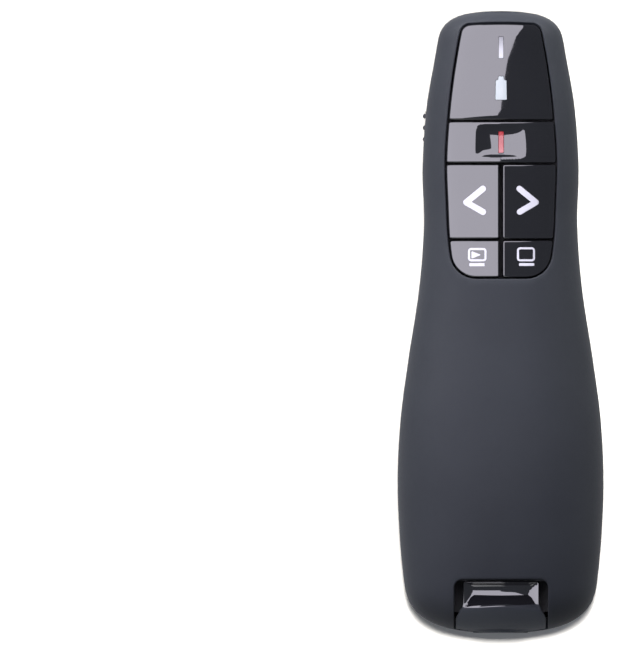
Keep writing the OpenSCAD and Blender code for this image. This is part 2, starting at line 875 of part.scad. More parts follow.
module bridge_contact() {
    color([0.85, 0.85, 0.87])
        block(-cell_x - 3.6, cell_x + 3.6, bay_y0, bay_y0 + plate_t, cell_z - 2.6, cell_z + 3.2);
}

SPRING_RING = 6;
SPRING_STEPS = 14;

// Helix of round wire along Y, with both ends flat against what they press on
module coil_spring(d, l) {
    n = spring_turns * SPRING_STEPS;
    r = (d - wire_d) / 2;
    points = [for (k = [0:n]) for (i = [0:SPRING_RING - 1])
        let(
            a = 360 * k / SPRING_STEPS,
            b = 360 * i / SPRING_RING,
            y = wire_d / 2 + (l - wire_d) * k / n + wire_d / 2 * sin(b),
            q = r + wire_d / 2 * cos(b)
        )
        [q * cos(a), y, q * sin(a)]];
    sides = [for (k = [0:n - 1]) for (i = [0:SPRING_RING - 1])
        let(i2 = (i + 1) % SPRING_RING)
        [k * SPRING_RING + i, k * SPRING_RING + i2, (k + 1) * SPRING_RING + i2, (k + 1) * SPRING_RING + i]];
    ends = [[for (i = [SPRING_RING - 1:-1:0]) i], [for (i = [0:SPRING_RING - 1]) n * SPRING_RING + i]];
    polyhedron(points, concat(sides, ends), convexity = 8);
}

module contact_springs() {
    color([0.8, 0.8, 0.82]) {
        translate([-cell_x, bay_y0 + plate_t, cell_z]) coil_spring(spring_d, spring_l);
        translate([cell_x, bay_y1 - plate_t - spring_l, cell_z]) coil_spring(spring_d, spring_l);
    }
}

// ---- Screws -------------------------------------------------------------

module case_screws() {
    color([0.7, 0.7, 0.72]) at_screws() difference() {
        union() {
            translate([0, 0, head_z - head_h]) cylinder(d = head_d, h = head_h);
            translate([0, 0, head_z - 0.1]) cylinder(d = shank_d, h = screw_l + 0.1);
        }
        for (a = [0, 90])
            rotate([0, 0, a]) translate([-1.2, -0.25, head_z - head_h - 1]) cube([2.4, 0.5, 1.7]);
    }
}

// ---- Receiver -----------------------------------------------------------

module housing_outline() {
    x = receiver_w / 2;
    translate([-x, grip_y]) square([receiver_w, receiver_y1 - grip_y - 2]);
    intersection() {
        translate([-x, grip_y]) square([receiver_w, receiver_y1 - grip_y]);
        hull() for (s = [-1, 1]) translate([s * (x - 2), receiver_y1 - 2]) circle(r = 2, $fn = 32);
    }
}

module housing_half(z0, z1, room_z0, room_z1) {
    y0 = grip_y + housing_wall;
    y1 = receiver_y1 - housing_wall;
    x = receiver_w / 2 - housing_wall;
    difference() {
        translate([0, 0, z0]) linear_extrude(z1 - z0) housing_outline();
        block(-x, x, y0, y1, room_z0, room_z1);
        block(-plug_w / 2, plug_w / 2, receiver_y1 - plug_root, receiver_y1 + 1, plug_z, plug_z + plug_h);
    }
}

module receiver_upper_housing() {
    color([0.1, 0.1, 0.11])
        housing_half(receiver_split, receiver_top, receiver_split - 1, receiver_top - housing_wall);
}

module receiver_lower_housing() {
    color([0.1, 0.1, 0.11])
        housing_half(receiver_z, receiver_split, receiver_z + housing_wall, receiver_split + 1);
}

module grip_outline() {
    half = receiver_w / 2;
    y = tail_y + lip_l;
    side = [[grip_half, grip_y], [grip_half, y + 0.8], [half, y - 1.6], [half, tail_y - 1]];
    polygon(concat(side, [for (k = [3:-1:0]) [-side[k][0], side[k][1]]]));
}

// Glossy end that closes the tail, dished for a fingertip, with a lip to pull on
module receiver_grip() {
    dish_half = grip_half - 0.9;
    dish_r = 7.5;
    dish_y = (grip_y + tail_y + lip_l) / 2 - 0.15;
    top = joint_z + rise(dish_y);
    color([0.08, 0.08, 0.09]) difference() {
        intersection() {
            half_solid(1, sink);
            translate([0, 0, receiver_z]) linear_extrude(big) grip_outline();
        }
        translate([-dish_half, dish_y, top + dish_r - 1.5]) rotate([0, 90, 0])
            cylinder(r = dish_r, h = 2 * dish_half, $fn = 96);
    }
}

module usb_plug_shell() {
    y0 = receiver_y1 - plug_root;
    color([0.8, 0.81, 0.83]) difference() {
        block(-plug_w / 2, plug_w / 2, y0, receiver_y1 + plug_l, plug_z, plug_z + plug_h);
        block(-plug_w / 2 + plug_t, plug_w / 2 - plug_t, y0 - 1, receiver_y1 + plug_l + 1,
            plug_z + plug_t, plug_z + plug_h - plug_t);
        for (x = [-2.8, 2.8])
            block(x - 1.1, x + 1.1, receiver_y1 + 5.2, receiver_y1 + 7.4, plug_z - 1, plug_z + plug_h + 1);
    }
}

tongue_t = 1.8;

module usb_tongue() {
    w = plug_w / 2 - plug_t;
    color([0.92, 0.92, 0.9]) block(-w, w, receiver_y1 - plug_root, receiver_y1 + plug_l - 0.4,
        plug_z + plug_t, plug_z + plug_t + tongue_t);
}

module usb_contacts() {
    z = plug_z + plug_t + tongue_t;
    color([0.85, 0.7, 0.35]) for (x = [-3.5, -1, 1, 3.5])
        block(x - 0.5, x + 0.5, receiver_y1 - plug_root, receiver_y1 + plug_l - 1.6, z, z + 0.2);
}

module receiver_board() {
    z = plug_z + plug_t + tongue_t;
    w = receiver_w / 2 - housing_wall - 0.2;
    y0 = grip_y + housing_wall + 0.3;
    y1 = receiver_y1 - plug_root - 0.1;
    color([0.05, 0.35, 0.18]) {
        block(-w, w, y0, y1, z - 1, z);
        for (s = [-1, 1])
            block(s * (w - 0.6) - 0.6, s * (w - 0.6) + 0.6, y0 + 0.2, y1 - 0.9, receiver_z + housing_wall, z - 0.9);
    }
}

module receiver_chip() {
    z = plug_z + plug_t + tongue_t;
    color([0.07, 0.07, 0.08]) block(-2.5, 2.5, grip_y + 12, grip_y + 17, z, z + 1);
}

// ---- Assembly -----------------------------------------------------------

front_shell();
rear_shell();
battery_door();
label_sticker();
keypad_frame();
window_panel();
status_light_pipe();
battery_light_pipe();
laser_button();
laser_button_light();
previous_button();
next_button();
play_button();
blank_screen_button();
laser_switch_stem();
previous_switch_stem();
next_switch_stem();
play_switch_stem();
blank_switch_stem();
key_switches();
circuit_board();
controller_chip();
radio_chip();
crystal();
status_led();
battery_led();
laser_barrel();
laser_diode();
laser_lens();
laser_leads();
laser_holder();
aperture_ring();
aperture_window();
power_switch_knob();
power_switch_actuator();
power_switch_body();
battery_tray();
battery_cell_left();
battery_cell_right();
positive_contact();
negative_contact();
bridge_contact();
contact_springs();
case_screws();
receiver_upper_housing();
receiver_lower_housing();
receiver_grip();
usb_plug_shell();
usb_tongue();
usb_contacts();
receiver_board();
receiver_chip();
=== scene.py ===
"""Dressed model of a handheld presentation clicker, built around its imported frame.

Sizes in the classes are millimetres in the frame's own axes: +X right, +Y towards the nose, +Z up
through the keys. Meshes are made in metres, each with its place in its own points.
"""
from __future__ import annotations

import json
import logging
import math
from dataclasses import dataclass, field
from enum import Enum
from typing import Any, Callable, Iterable, Sequence

import bmesh
import bpy
import numpy as np
from bpy.types import ID, Collection, Material, Mesh, Node, NodeSocket, NodeTree, Object
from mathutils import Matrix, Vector
from mathutils.geometry import delaunay_2d_cdt

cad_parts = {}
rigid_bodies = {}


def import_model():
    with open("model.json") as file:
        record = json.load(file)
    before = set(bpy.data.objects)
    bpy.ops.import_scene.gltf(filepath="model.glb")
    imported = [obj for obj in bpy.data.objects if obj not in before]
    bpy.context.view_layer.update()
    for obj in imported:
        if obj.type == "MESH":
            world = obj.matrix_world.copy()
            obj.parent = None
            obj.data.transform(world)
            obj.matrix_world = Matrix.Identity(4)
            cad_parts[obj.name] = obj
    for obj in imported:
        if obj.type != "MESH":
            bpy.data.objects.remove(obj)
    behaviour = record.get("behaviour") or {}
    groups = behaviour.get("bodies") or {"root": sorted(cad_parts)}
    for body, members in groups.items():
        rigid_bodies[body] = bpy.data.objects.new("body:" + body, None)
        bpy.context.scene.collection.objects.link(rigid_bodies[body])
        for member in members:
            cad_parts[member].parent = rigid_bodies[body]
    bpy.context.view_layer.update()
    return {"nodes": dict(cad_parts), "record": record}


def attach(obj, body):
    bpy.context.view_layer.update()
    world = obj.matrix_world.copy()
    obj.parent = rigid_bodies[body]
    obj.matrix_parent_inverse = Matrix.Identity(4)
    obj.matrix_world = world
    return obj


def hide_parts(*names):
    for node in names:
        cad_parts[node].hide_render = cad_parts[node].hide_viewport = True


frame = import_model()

LOG = logging.getLogger("clicker")
MM = 0.001
# Seed and reach of the small shifts that keep points off common circles and lines.
SEED, JITTER = 7, 2e-5
# Points closer than this, in metres, become one.
WELD = 2e-7
# Edges that turn by more than this stay sharp, in degrees.
CREASE, GROWN_CREASE = 38.0, 45.0
# A place y beyond the tail, in millimetres.
PAST_TAIL = -90.0
Array = np.ndarray
Surface = Callable[[Array], Array]
Tone = tuple[float, float, float]
Pair = tuple[float, float]
Pairs = tuple[Pair, ...]
Box = tuple[float, float, float, float]
Inputs = dict[Any, Any]


# ---- Shader building ----


def _operator(operation: str, swapped: bool = False) -> Callable[[Any, Any], Any]:
    """An operator of Signal; swapped is for a signal on its right side."""
    return lambda this, other: this._math(operation, *((other, this) if swapped else (this, other)))


class Signal:
    """A shader socket that takes part in arithmetic; every operator adds one Math node."""

    def __init__(self, wiring: "Wiring", socket: NodeSocket) -> None:
        """Keeps the socket and the wiring that it belongs to."""
        self.wiring = wiring
        self.socket = socket

    def _math(self, operation: str, *operands: Any) -> "Signal":
        """Adds a Math node of that operation with numbers or signals as its operands."""
        return self.wiring.out("ShaderNodeMath", {"operation": operation}, dict(enumerate(operands)))

    __add__, __radd__ = _operator("ADD"), _operator("ADD", True)
    __sub__, __rsub__ = _operator("SUBTRACT"), _operator("SUBTRACT", True)
    __mul__, __rmul__ = _operator("MULTIPLY"), _operator("MULTIPLY", True)
    __truediv__ = _operator("DIVIDE")

    def sine(self) -> "Signal":
        """Sine of this, in radians."""
        return self._math("SINE", self)

    def ramp(self, low: float, high: float) -> "Signal":
        """Smooth step of this, from 0 where it is low or less to 1 where it is high or more."""
        sockets = {"Value": self, "From Min": low, "From Max": high}
        return self.wiring.out("ShaderNodeMapRange", {"interpolation_type": "SMOOTHSTEP"}, sockets)


def add_node(tree: NodeTree, kind: str, settings: dict[str, Any], sockets: Inputs) -> Node:
    """Adds a node to a tree.

    Args:
        tree: Shader or geometry tree.
        kind: The node's type.
        settings: Its own settings, which are set first.
        sockets: Values, signals or other sockets of its inputs, by name or number.

    Returns:
        The node.
    """
    made = tree.nodes.new(kind)
    for key, value in settings.items():
        setattr(made, key, value)
    for key, value in sockets.items():
        value = value.socket if isinstance(value, Signal) else value
        if isinstance(value, NodeSocket):
            tree.links.new(value, made.inputs[key])
        else:
            made.inputs[key].default_value = value
    return made


class Wiring:
    """Node tree of one material."""

    def __init__(self, name: str) -> None:
        """Makes an empty material of that name."""
        self.material = bpy.data.materials.new(name)
        self.material.use_nodes = True
        self.tree = self.material.node_tree
        self.tree.nodes.clear()

    def node(self, kind: str, settings: dict[str, Any], sockets: Inputs) -> Node:
        """Adds a node of that kind with its settings and inputs."""
        return add_node(self.tree, kind, settings, sockets)

    def out(self, kind: str, settings: dict[str, Any], sockets: Inputs, output: Any = 0) -> Signal:
        """Adds a node and gives one of its outputs as a signal."""
        return Signal(self, self.node(kind, settings, sockets).outputs[output])

    def place(self) -> Signal:
        """Object coordinates, in metres."""
        return self.out("ShaderNodeTexCoord", {}, {}, "Object")

    def axes(self) -> list[Signal]:
        """Object coordinates as three numbers, in metres."""
        return [Signal(self, output) for output in self.node("ShaderNodeSeparateXYZ", {}, {0: self.place()}).outputs]

    def noise(self, period: float, detail: float = 2.0, stretch: Tone = (1.0, 1.0, 1.0)) -> Signal:
        """Noise over the object.

        Args:
            period: Size of its blots in millimetres.
            detail: Number of finer layers.
            stretch: Share of the scale along each axis.

        Returns:
            The noise, around 0.5.
        """
        vector = self.place()
        if stretch != (1.0, 1.0, 1.0):
            vector = self.out("ShaderNodeVectorMath", {"operation": "MULTIPLY"}, {0: vector, 1: stretch})
        sockets = {"Vector": vector, "Scale": 1.0 / (period * MM), "Detail": detail, "Roughness": 0.55}
        return self.out("ShaderNodeTexNoise", {"noise_dimensions": "3D"}, sockets)

    def mix(self, first: Any, second: Any, factor: Any) -> Signal:
        """Mixes two colours, each a tone or a signal; the factor is the second's share."""
        sockets = {0: factor, 6: _rgba(first), 7: _rgba(second)}
        return self.out("ShaderNodeMix", {"data_type": "RGBA", "blend_type": "MIX"}, sockets, 2)

    def bump(self, height: Signal, depth: float) -> Signal:
        """Normal from a height, which is a share of a depth in millimetres."""
        return self.out("ShaderNodeBump", {}, {"Height": height, "Distance": depth * MM, "Strength": 1.0}, "Normal")

    def finish(self, sockets: Inputs) -> Material:
        """Closes the tree with one surface shader of those inputs, and gives the material."""
        self.node("ShaderNodeOutputMaterial", {}, {0: self.node("ShaderNodeBsdfPrincipled", {}, sockets).outputs[0]})
        return self.material


def _rgba(tone: Any) -> Any:
    """A tone with its alpha, or a signal as it is."""
    return tone if isinstance(tone, Signal) else (*tone, 1.0)


@dataclass(frozen=True)
class Finish:
    """A surface finish: two tones that blend in soft blots, a roughness that varies and a fine grain."""

    name: str
    tone: Tone
    shade: Tone
    blot: float = 14.0
    rough: float = 0.4
    rough_swing: float = 0.06
    grain: float = 0.3
    grain_deep: float = 0.0
    metal: float = 0.0
    coat: float = 0.0
    coat_rough: float = 0.03
    sheen: float = 0.0
    specular: float = 0.5
    stretch: Tone = (1.0, 1.0, 1.0)

    def colour(self, wiring: Wiring) -> Signal:
        """The base colour."""
        return wiring.mix(self.tone, self.shade, wiring.noise(self.blot, 3.0).ramp(0.3, 0.7))

    def roughness(self, wiring: Wiring) -> Signal:
        """The roughness."""
        swing = wiring.noise(self.grain * 6, 2.0, self.stretch)
        return self.rough + (swing - 0.5) * (2 * self.rough_swing)

    def detail(self, wiring: Wiring, made: Inputs) -> None:
        """Changes the surface shader's inputs; a plain finish leaves them as they are."""

    def build(self) -> Material:
        """Makes the material.

        Returns:
            It, with the inputs that detail leaves.
        """
        wiring = Wiring(self.name)
        made: Inputs = {
            "Base Color": self.colour(wiring),
            "Roughness": self.roughness(wiring),
            "Metallic": self.metal,
            "Coat Weight": self.coat,
            "Coat Roughness": self.coat_rough,
            "Sheen Weight": self.sheen,
            "Sheen Roughness": 0.4,
            "Specular IOR Level": self.specular,
        }
        if self.grain_deep:
            made["Normal"] = wiring.bump(wiring.noise(self.grain, 3.0, self.stretch), self.grain_deep)
        self.detail(wiring, made)
        return wiring.finish(made)


@dataclass(frozen=True)
class SoftTouch(Finish):
    """Rubbery paint: a dense fine grain, a little sheen and slightly rubbed broad areas."""

    def detail(self, wiring: Wiring, made: Inputs) -> None:
        """Its grain of fine beads."""
        sockets = {"Vector": wiring.place(), "Scale": 1.0 / (self.grain * MM), "Smoothness": 0.6}
        beads = wiring.out("ShaderNodeTexVoronoi", {"feature": "SMOOTH_F1"}, sockets, "Distance")
        height = beads * 0.6 + wiring.noise(self.grain * 2.5, 3.0) * 0.8
        made["Normal"] = wiring.bump(height, self.grain_deep)


@dataclass(frozen=True)
class Piano(Finish):
    """Polished black plastic: deep, mirror-like, with a hint of fine hairlines and dust."""

    def roughness(self, wiring: Wiring) -> Signal:
        """Nearly none, more along hairlines."""
        lines = wiring.noise(0.35, 4.0, (1.0, 0.08, 1.0)).ramp(0.66, 0.82)
        dust = wiring.noise(0.5, 2.0).ramp(0.74, 0.8)
        return self.rough + lines * 0.03 + dust * 0.12


@dataclass(frozen=True)
class Glowing(Finish):
    """A light guide: milky plastic with a soft light of its own that fades along the body."""

    light: float = 0.6
    fade: Pair = (0.0, 1.0)
    low: float = 0.15

    def detail(self, wiring: Wiring, made: Inputs) -> None:
        """Its own light, strongest at one end."""
        share = self.low + (1 - self.low) * wiring.axes()[1].ramp(self.fade[0] * MM, self.fade[1] * MM)
        made["Emission Color"] = wiring.mix((0.0, 0.0, 0.0), self.tone, share)
        made["Emission Strength"] = self.light


@dataclass(frozen=True)
class Lens(Finish):
    """Clear plastic with a faint tint."""

    def detail(self, wiring: Wiring, made: Inputs) -> None:
        """Light going through it."""
        made |= {"Transmission Weight": 0.85, "IOR": 1.5}


@dataclass(frozen=True)
class BoardLacquer(Finish):
    """Green lacquer over copper tracks that run along and across the board."""

    def detail(self, wiring: Wiring, made: Inputs) -> None:
        """Its tracks."""
        x, y, _ = wiring.axes()
        cells = wiring.noise(5.0, 0.0)
        along = (x / (1.1 * MM) * math.tau).sine().ramp(0.55, 0.75)
        across = (y / (1.3 * MM) * math.tau).sine().ramp(0.55, 0.75)
        track = along * cells.ramp(0.5, 0.52) + across * (1 - cells.ramp(0.42, 0.44))
        made["Base Color"] = wiring.mix(made["Base Color"], (0.05, 0.3, 0.12), track)
        made["Normal"] = wiring.bump(track, 0.03)


@dataclass(frozen=True)
class Jacket(Finish):
    """Shrink-wrapped cell jacket: bare metal with one plain dark band at the plus end."""

    band: Pair = (0.0, 1.0)

    def detail(self, wiring: Wiring, made: Inputs) -> None:
        """Its band, with edges a tenth of a millimetre soft."""
        y = wiring.axes()[1]
        start, stop = (y.ramp(edge * MM, (edge + 0.1) * MM) for edge in self.band)
        share = start * (1 - stop)
        made["Base Color"] = wiring.mix(made["Base Color"], (0.02, 0.022, 0.03), share)
        made["Metallic"] = 0.85 - share * 0.6


FLOOR_FINISH = Finish("floor_paper", (0.96, 0.93, 0.87), (0.94, 0.91, 0.855), 180.0, 0.75, 0.03, 2.0)
PALETTE: tuple[Finish, ...] = (
    SoftTouch("soft_touch_front", (0.0130, 0.0146, 0.0180), (0.0113, 0.0127, 0.0158), 22.0, 0.6, 0.05, 0.16, 0.012,
        sheen=0.03, specular=0.10),
    SoftTouch("soft_touch_back", (0.0150, 0.0160, 0.0184), (0.0128, 0.0138, 0.0160), 22.0, 0.58, 0.05, 0.16, 0.012,
        sheen=0.03, specular=0.18),
    Finish("label_yellow", (0.90, 0.80, 0.02), (0.88, 0.77, 0.015), 9.0, 0.30, 0.05, 0.5, 0.004, coat=0.4,
        coat_rough=0.12),
    Finish("label_ink", (0.012, 0.012, 0.013), (0.018, 0.018, 0.018), 4.0, 0.35, 0.05, 0.5, 0.003),
    Finish("frame_black", (0.006, 0.006, 0.007), (0.004, 0.004, 0.005), 6.0, 0.6, 0.08, 0.3, 0.01),
    Piano("gloss_black", (0.0060, 0.0060, 0.0072), (0.0048, 0.0048, 0.0060), 12.0, 0.035, 0.0, 0.4, coat=0.6,
        coat_rough=0.02),
    Finish("print_white", (0.50, 0.50, 0.53), (0.47, 0.47, 0.50), 3.0, 0.32, 0.05, 0.3, 0.004),
    Glowing("light_white", (0.11, 0.11, 0.125), (0.10, 0.10, 0.115), 3.0, 0.22, 0.04, 0.4, coat=0.3, light=4.9,
        fade=(53.6, 49.2), low=0.0),
    Glowing("light_blue", (0.32, 0.35, 0.35), (0.28, 0.32, 0.33), 2.5, 0.22, 0.04, 0.4, coat=0.3, light=0.14,
        fade=(47.0, 41.5), low=0.7),
    Glowing("light_red", (0.28, 0.02, 0.024), (0.24, 0.014, 0.018), 2.0, 0.18, 0.04, 0.4, coat=0.5, light=0.10,
        fade=(36.0, 31.0), low=0.6),
    Finish("chip_black", (0.016, 0.016, 0.017), (0.022, 0.022, 0.023), 1.5, 0.55, 0.08, 0.12, 0.01),
    Finish("switch_metal", (0.60, 0.60, 0.62), (0.52, 0.52, 0.54), 2.0, 0.32, 0.1, 0.3, 0.004, metal=1.0),
    BoardLacquer("board_green", (0.012, 0.13, 0.05), (0.01, 0.11, 0.045), 6.0, 0.3, 0.05, 0.3),
    Finish("led_white", (0.85, 0.85, 0.78), (0.8, 0.79, 0.7), 1.0, 0.3, 0.04, 0.2, coat=0.3),
    Finish("brass", (0.72, 0.52, 0.22), (0.64, 0.45, 0.18), 3.0, 0.25, 0.08, 0.2, 0.004, metal=1.0,
        stretch=(1.0, 6.0, 1.0)),
    Lens("lens", (0.80, 0.78, 0.80), (0.76, 0.74, 0.78), 3.0, 0.04, 0.01, 0.4),
    Finish("lead_metal", (0.8, 0.72, 0.5), (0.72, 0.64, 0.44), 1.0, 0.3, 0.06, 0.2, metal=1.0),
    Finish("tray_black", (0.020, 0.020, 0.022), (0.015, 0.015, 0.017), 8.0, 0.5, 0.07, 0.25, 0.012),
    Finish("ring_metal", (0.66, 0.67, 0.69), (0.58, 0.59, 0.61), 3.0, 0.22, 0.08, 0.2, 0.003, metal=1.0,
        stretch=(1.0, 8.0, 1.0)),
    Finish("knob_black", (0.022, 0.023, 0.026), (0.018, 0.019, 0.021), 3.0, 0.42, 0.06, 0.2, 0.01),
    Jacket("cell_left", (0.62, 0.64, 0.68), (0.55, 0.57, 0.61), 10.0, 0.26, 0.06, 0.6, 0.004, band=(-15.5, -6.2)),
    Jacket("cell_right", (0.62, 0.64, 0.68), (0.55, 0.57, 0.61), 10.0, 0.26, 0.06, 0.6, 0.004, band=(-52.4, -43.0)),
    Finish("contact_metal", (0.70, 0.70, 0.72), (0.62, 0.62, 0.65), 2.0, 0.24, 0.08, 0.2, 0.003, metal=1.0),
    Finish("screw_metal", (0.48, 0.48, 0.50), (0.40, 0.40, 0.42), 1.5, 0.35, 0.1, 0.2, 0.004, metal=1.0),
    Finish("receiver_black", (0.016, 0.016, 0.019), (0.012, 0.012, 0.015), 7.0, 0.42, 0.06, 0.2, 0.01),
    Finish("tongue_white", (0.82, 0.82, 0.78), (0.78, 0.78, 0.73), 3.0, 0.4, 0.05, 0.3),
    Finish("gold", (0.85, 0.62, 0.22), (0.8, 0.57, 0.2), 1.0, 0.22, 0.06, 0.2, metal=1.0),
)


# ---- The case's form ----


class Side(Enum):
    """The two halves of the case."""

    FRONT = 1
    BACK = -1


def smooth_curve(at: Array, pairs: Pairs) -> Array:
    """Smooth curve through pairs of place and value.

    Args:
        at: Places to read it at.
        pairs: Rising places, each with its value.

    Returns:
        The values.
    """
    xs, ys = (np.array(column, float) for column in zip(*pairs))
    last = len(xs) - 1
    before = np.maximum(np.arange(last + 1) - 1, 0)
    after = np.minimum(np.arange(last + 1) + 1, last)
    slopes = (ys[after] - ys[before]) / (xs[after] - xs[before])
    k = np.clip(np.searchsorted(xs, at, side="left") - 1, 0, last - 1)
    h = xs[k + 1] - xs[k]
    u = (at - xs[k]) / h
    return (
        ys[k] * (1 + 2 * u) * (1 - u) ** 2
        + slopes[k] * h * u * (1 - u) ** 2
        + ys[k + 1] * u * u * (3 - 2 * u)
        + slopes[k + 1] * h * u * u * (u - 1)
    )


def level(z: float) -> Surface:
    """Heights that are the same everywhere."""
    return lambda plan: np.full(len(plan), z)


def unit(rows: Array) -> Array:
    """Rows of directions, each made one long."""
    return rows / np.maximum(np.linalg.norm(rows, axis=1, keepdims=True), 1e-12)


def end_share(deep: Array, length: float, power: float, flat: float) -> Array:
    """Share of the size that is left inside an end curve."""
    share = np.clip(deep / length, 0, 1)
    return np.where(deep <= 0, 1.0, np.maximum(flat, np.maximum(0, 1 - share**power) ** (1 / power)))


@dataclass(frozen=True)
class CaseForm:
    """Outer form of the case: sections along Y, with a level joint across them.

    A chart is a flat pair of numbers (v, h) for each place on one half: v runs along the body and on
    over the flat ends to their middle, h runs across from the right side's joint to the left's.
    """

    length: float = 115.5
    width: float = 38.3
    height: float = 27.4
    joint: float = 12.0
    wall: float = 1.7
    nose_cap: float = 6.0
    tail_cap: float = 10.0
    power: float = 2.5
    end_long: float = 0.8
    spread: float = 25.0
    flat_chart: float = 5.0
    nose_fall: float = 0.15
    nose_flat: float = 4.3
    fall_long: float = 0.35
    # Power and flat share of the nose's end curve and of the tail's.
    wide_ends: tuple[Pair, Pair] = ((3.0, 0.4), (2.8, 0.3))
    high_ends: tuple[Pair, Pair] = ((3.2, 0.6), (3.2, 0.6))
    widths: Pairs = (
        (-1, 0.883), (-0.857, 0.932), (-0.701, 0.978), (-0.509, 1), (-0.315, 0.972), (-0.121, 0.896),
        (0.109, 0.791), (0.312, 0.745), (0.495, 0.758), (0.693, 0.718), (0.843, 0.642), (1, 0.56),
    )
    tops: Pairs = (
        (-1, 0.74), (-0.866, 0.875), (-0.693, 0.965), (-0.5, 1), (-0.26, 0.968), (0, 0.89),
        (0.346, 0.8), (0.606, 0.742), (0.831, 0.688), (1, 0.63),
    )
    backs: Pairs = (
        (-1, 0.8), (-0.866, 0.93), (-0.693, 1.005), (-0.5, 1.02), (-0.31, 0.985), (-0.139, 0.9),
        (0.035, 0.79), (0.208, 0.755), (0.381, 0.8), (0.589, 0.9), (0.762, 0.99), (0.866, 1.015), (1, 0.85),
    )

    @property
    def half(self) -> float:
        """Half the length."""
        return self.length / 2

    def cap(self, v: Array) -> Array:
        """Length of the end curve on the side of v."""
        return np.where(v > 0, self.nose_cap, self.tail_cap)

    def _end_curves(self, y: Array, scale: float, forms: tuple[Pair, Pair]) -> Array:
        """Share of the size that the end curves leave at y; scale is the share of the caps' length."""
        nose, tail = self.nose_cap * scale, self.tail_cap * scale
        return np.where(
            y > 0, end_share(y - self.half + nose, nose, *forms[0]), end_share(-y - self.half + tail, tail, *forms[1]))

    def half_width(self, y: Array) -> Array:
        """Half the width at y."""
        ends = self._end_curves(y, 1.0, self.wide_ends)
        return self.width / 2 * smooth_curve(y / self.half, self.widths) * ends

    def reach(self, y: Array, side: Side) -> Array:
        """Height of one half over the joint, or depth under it, at y."""
        full, curve = (self.height - self.joint, self.tops) if side is Side.FRONT else (self.joint, self.backs)
        return full * smooth_curve(y / self.half, curve) * self._end_curves(y, self.end_long, self.high_ends)

    def straight(self, v: Array) -> Array:
        """Distance from the middle to where the end curve starts, on the side of v."""
        return self.half - self.cap(v)

    def ends(self) -> Pair:
        """Charts' v at the middle of the tail's flat and at the middle of the nose's."""
        tail, nose = (
            self.half - cap + cap * math.pi / 2 + self.flat_chart for cap in (self.tail_cap, self.nose_cap)
        )
        return -tail, nose

    def unroll(self, y: Array) -> Array:
        """Chart's v of a place y on the sides."""
        y = np.asarray(y, float)
        over = np.clip((np.abs(y) - self.straight(y)) / self.cap(y), 0, 1)
        return np.where(over > 0, np.sign(y) * (self.straight(y) + self.cap(y) * np.arcsin(over)), y)

    def _roll(self, v: Array) -> tuple[Array, Array]:
        """Place y of a chart's v, and the share of the section that is left on a flat end."""
        turn = np.clip((np.abs(v) - self.straight(v)) / self.cap(v), 0, math.pi / 2)
        y = np.where(turn > 0, np.sign(v) * (self.straight(v) + self.cap(v) * np.sin(turn)), v)
        past = np.abs(v) - self.straight(v) - self.cap(v) * math.pi / 2
        return y, 1 - np.clip(past / self.flat_chart, 0, 1)

    def _height(self, y: Array, rise: Array, side: Side, inset: float) -> Array:
        """Heights at y, where rise is the share of the section's reach; the lowest strip is level."""
        reach = self.reach(y, side)
        if side is Side.FRONT:
            return self.joint + rise * (reach - inset)
        return self.joint - np.minimum(rise * reach, self.joint) + inset * rise

    def lay(self, chart: Array, side: Side, inset: float = 0.0) -> Array:
        """Places of a chart in space.

        Args:
            chart: Rows of v and h.
            side: Half of the case.
            inset: Distance inside the outer surface.

        Returns:
            Rows of x, y and z.
        """
        v, h = chart[:, 0], chart[:, 1]
        y, share = self._roll(v)
        turn = math.pi / 2 + math.pi / 2 * h / (self.spread * np.maximum(share, 1e-6))
        c, s = np.cos(turn), np.sin(turn)
        x = share * (self.half_width(y) - inset) * np.sign(c) * np.abs(c) ** (2 / self.power)
        z = self._height(y, share * np.sign(s) * np.abs(s) ** (2 / self.power), side, inset)
        near = np.clip((y - self.half + self.fall_long) / self.fall_long, 0, 1)
        fall = self.nose_fall * np.minimum(np.abs(x) / self.nose_flat, 1) ** 2 * near**2
        return np.column_stack([x, y * (self.half - inset) / self.half - fall, z])

    def across(self, y: Array, x: Array, inset: float = 0.0) -> Array:
        """Chart's h at x on the section at y."""
        share = np.clip(np.abs(x) / (self.half_width(y) - inset), 0, 1)
        turn = np.arccos(np.sign(x) * share ** (self.power / 2))
        return (turn / (math.pi / 2) - 1) * self.spread

    def over(self, plan: Array, inset: float = 0.0) -> Array:
        """Charts of places seen from above, as rows of x and y."""
        y = plan[:, 1] * self.half / (self.half - inset)
        return np.column_stack([self.unroll(y), self.across(y, plan[:, 0], inset)])

    def around(self, faced: Array, end: int, side: Side, inset: float = 0.0) -> Array:
        """Charts of places seen from one end.

        Args:
            faced: Rows of x and z.
            end: 1 for the nose and -1 for the tail.
            side: Half of the case.
            inset: Distance inside the outer surface.

        Returns:
            Rows of v and h.
        """
        x, up = np.abs(faced[:, 0]), np.abs(faced[:, 1] - self.joint)
        cap = self.nose_cap if end > 0 else self.tail_cap

        def size(turn: Array) -> tuple[Array, Array, Array]:
            """Section's half width and reach at a turn of the end curve, and how far out the place lies."""
            y = end * (self.half - cap + cap * np.sin(turn))
            wide, high = self.half_width(y) - inset, self.reach(y, side) - inset
            return wide, high, (x / wide) ** self.power + (up / high) ** self.power

        low, high = np.zeros(len(x)), np.full(len(x), math.pi / 2)
        for _ in range(48):
            middle = (low + high) / 2
            inside = size(middle)[2] <= 1
            low, high = np.where(inside, middle, low), np.where(inside, high, middle)
        wide, _, out = size(high)
        flat = high > math.pi / 2 - 1e-9
        share = np.where(flat, np.minimum(out, 1) ** (1 / self.power), 1.0)
        turn = np.arccos(np.sign(faced[:, 0]) * np.clip(x / (wide * np.maximum(share, 1e-9)), 0, 1) ** (self.power / 2))
        v = self.half - cap + cap * high + (1 - share) * self.flat_chart
        return np.column_stack([end * v, (turn / (math.pi / 2) - 1) * self.spread * share])

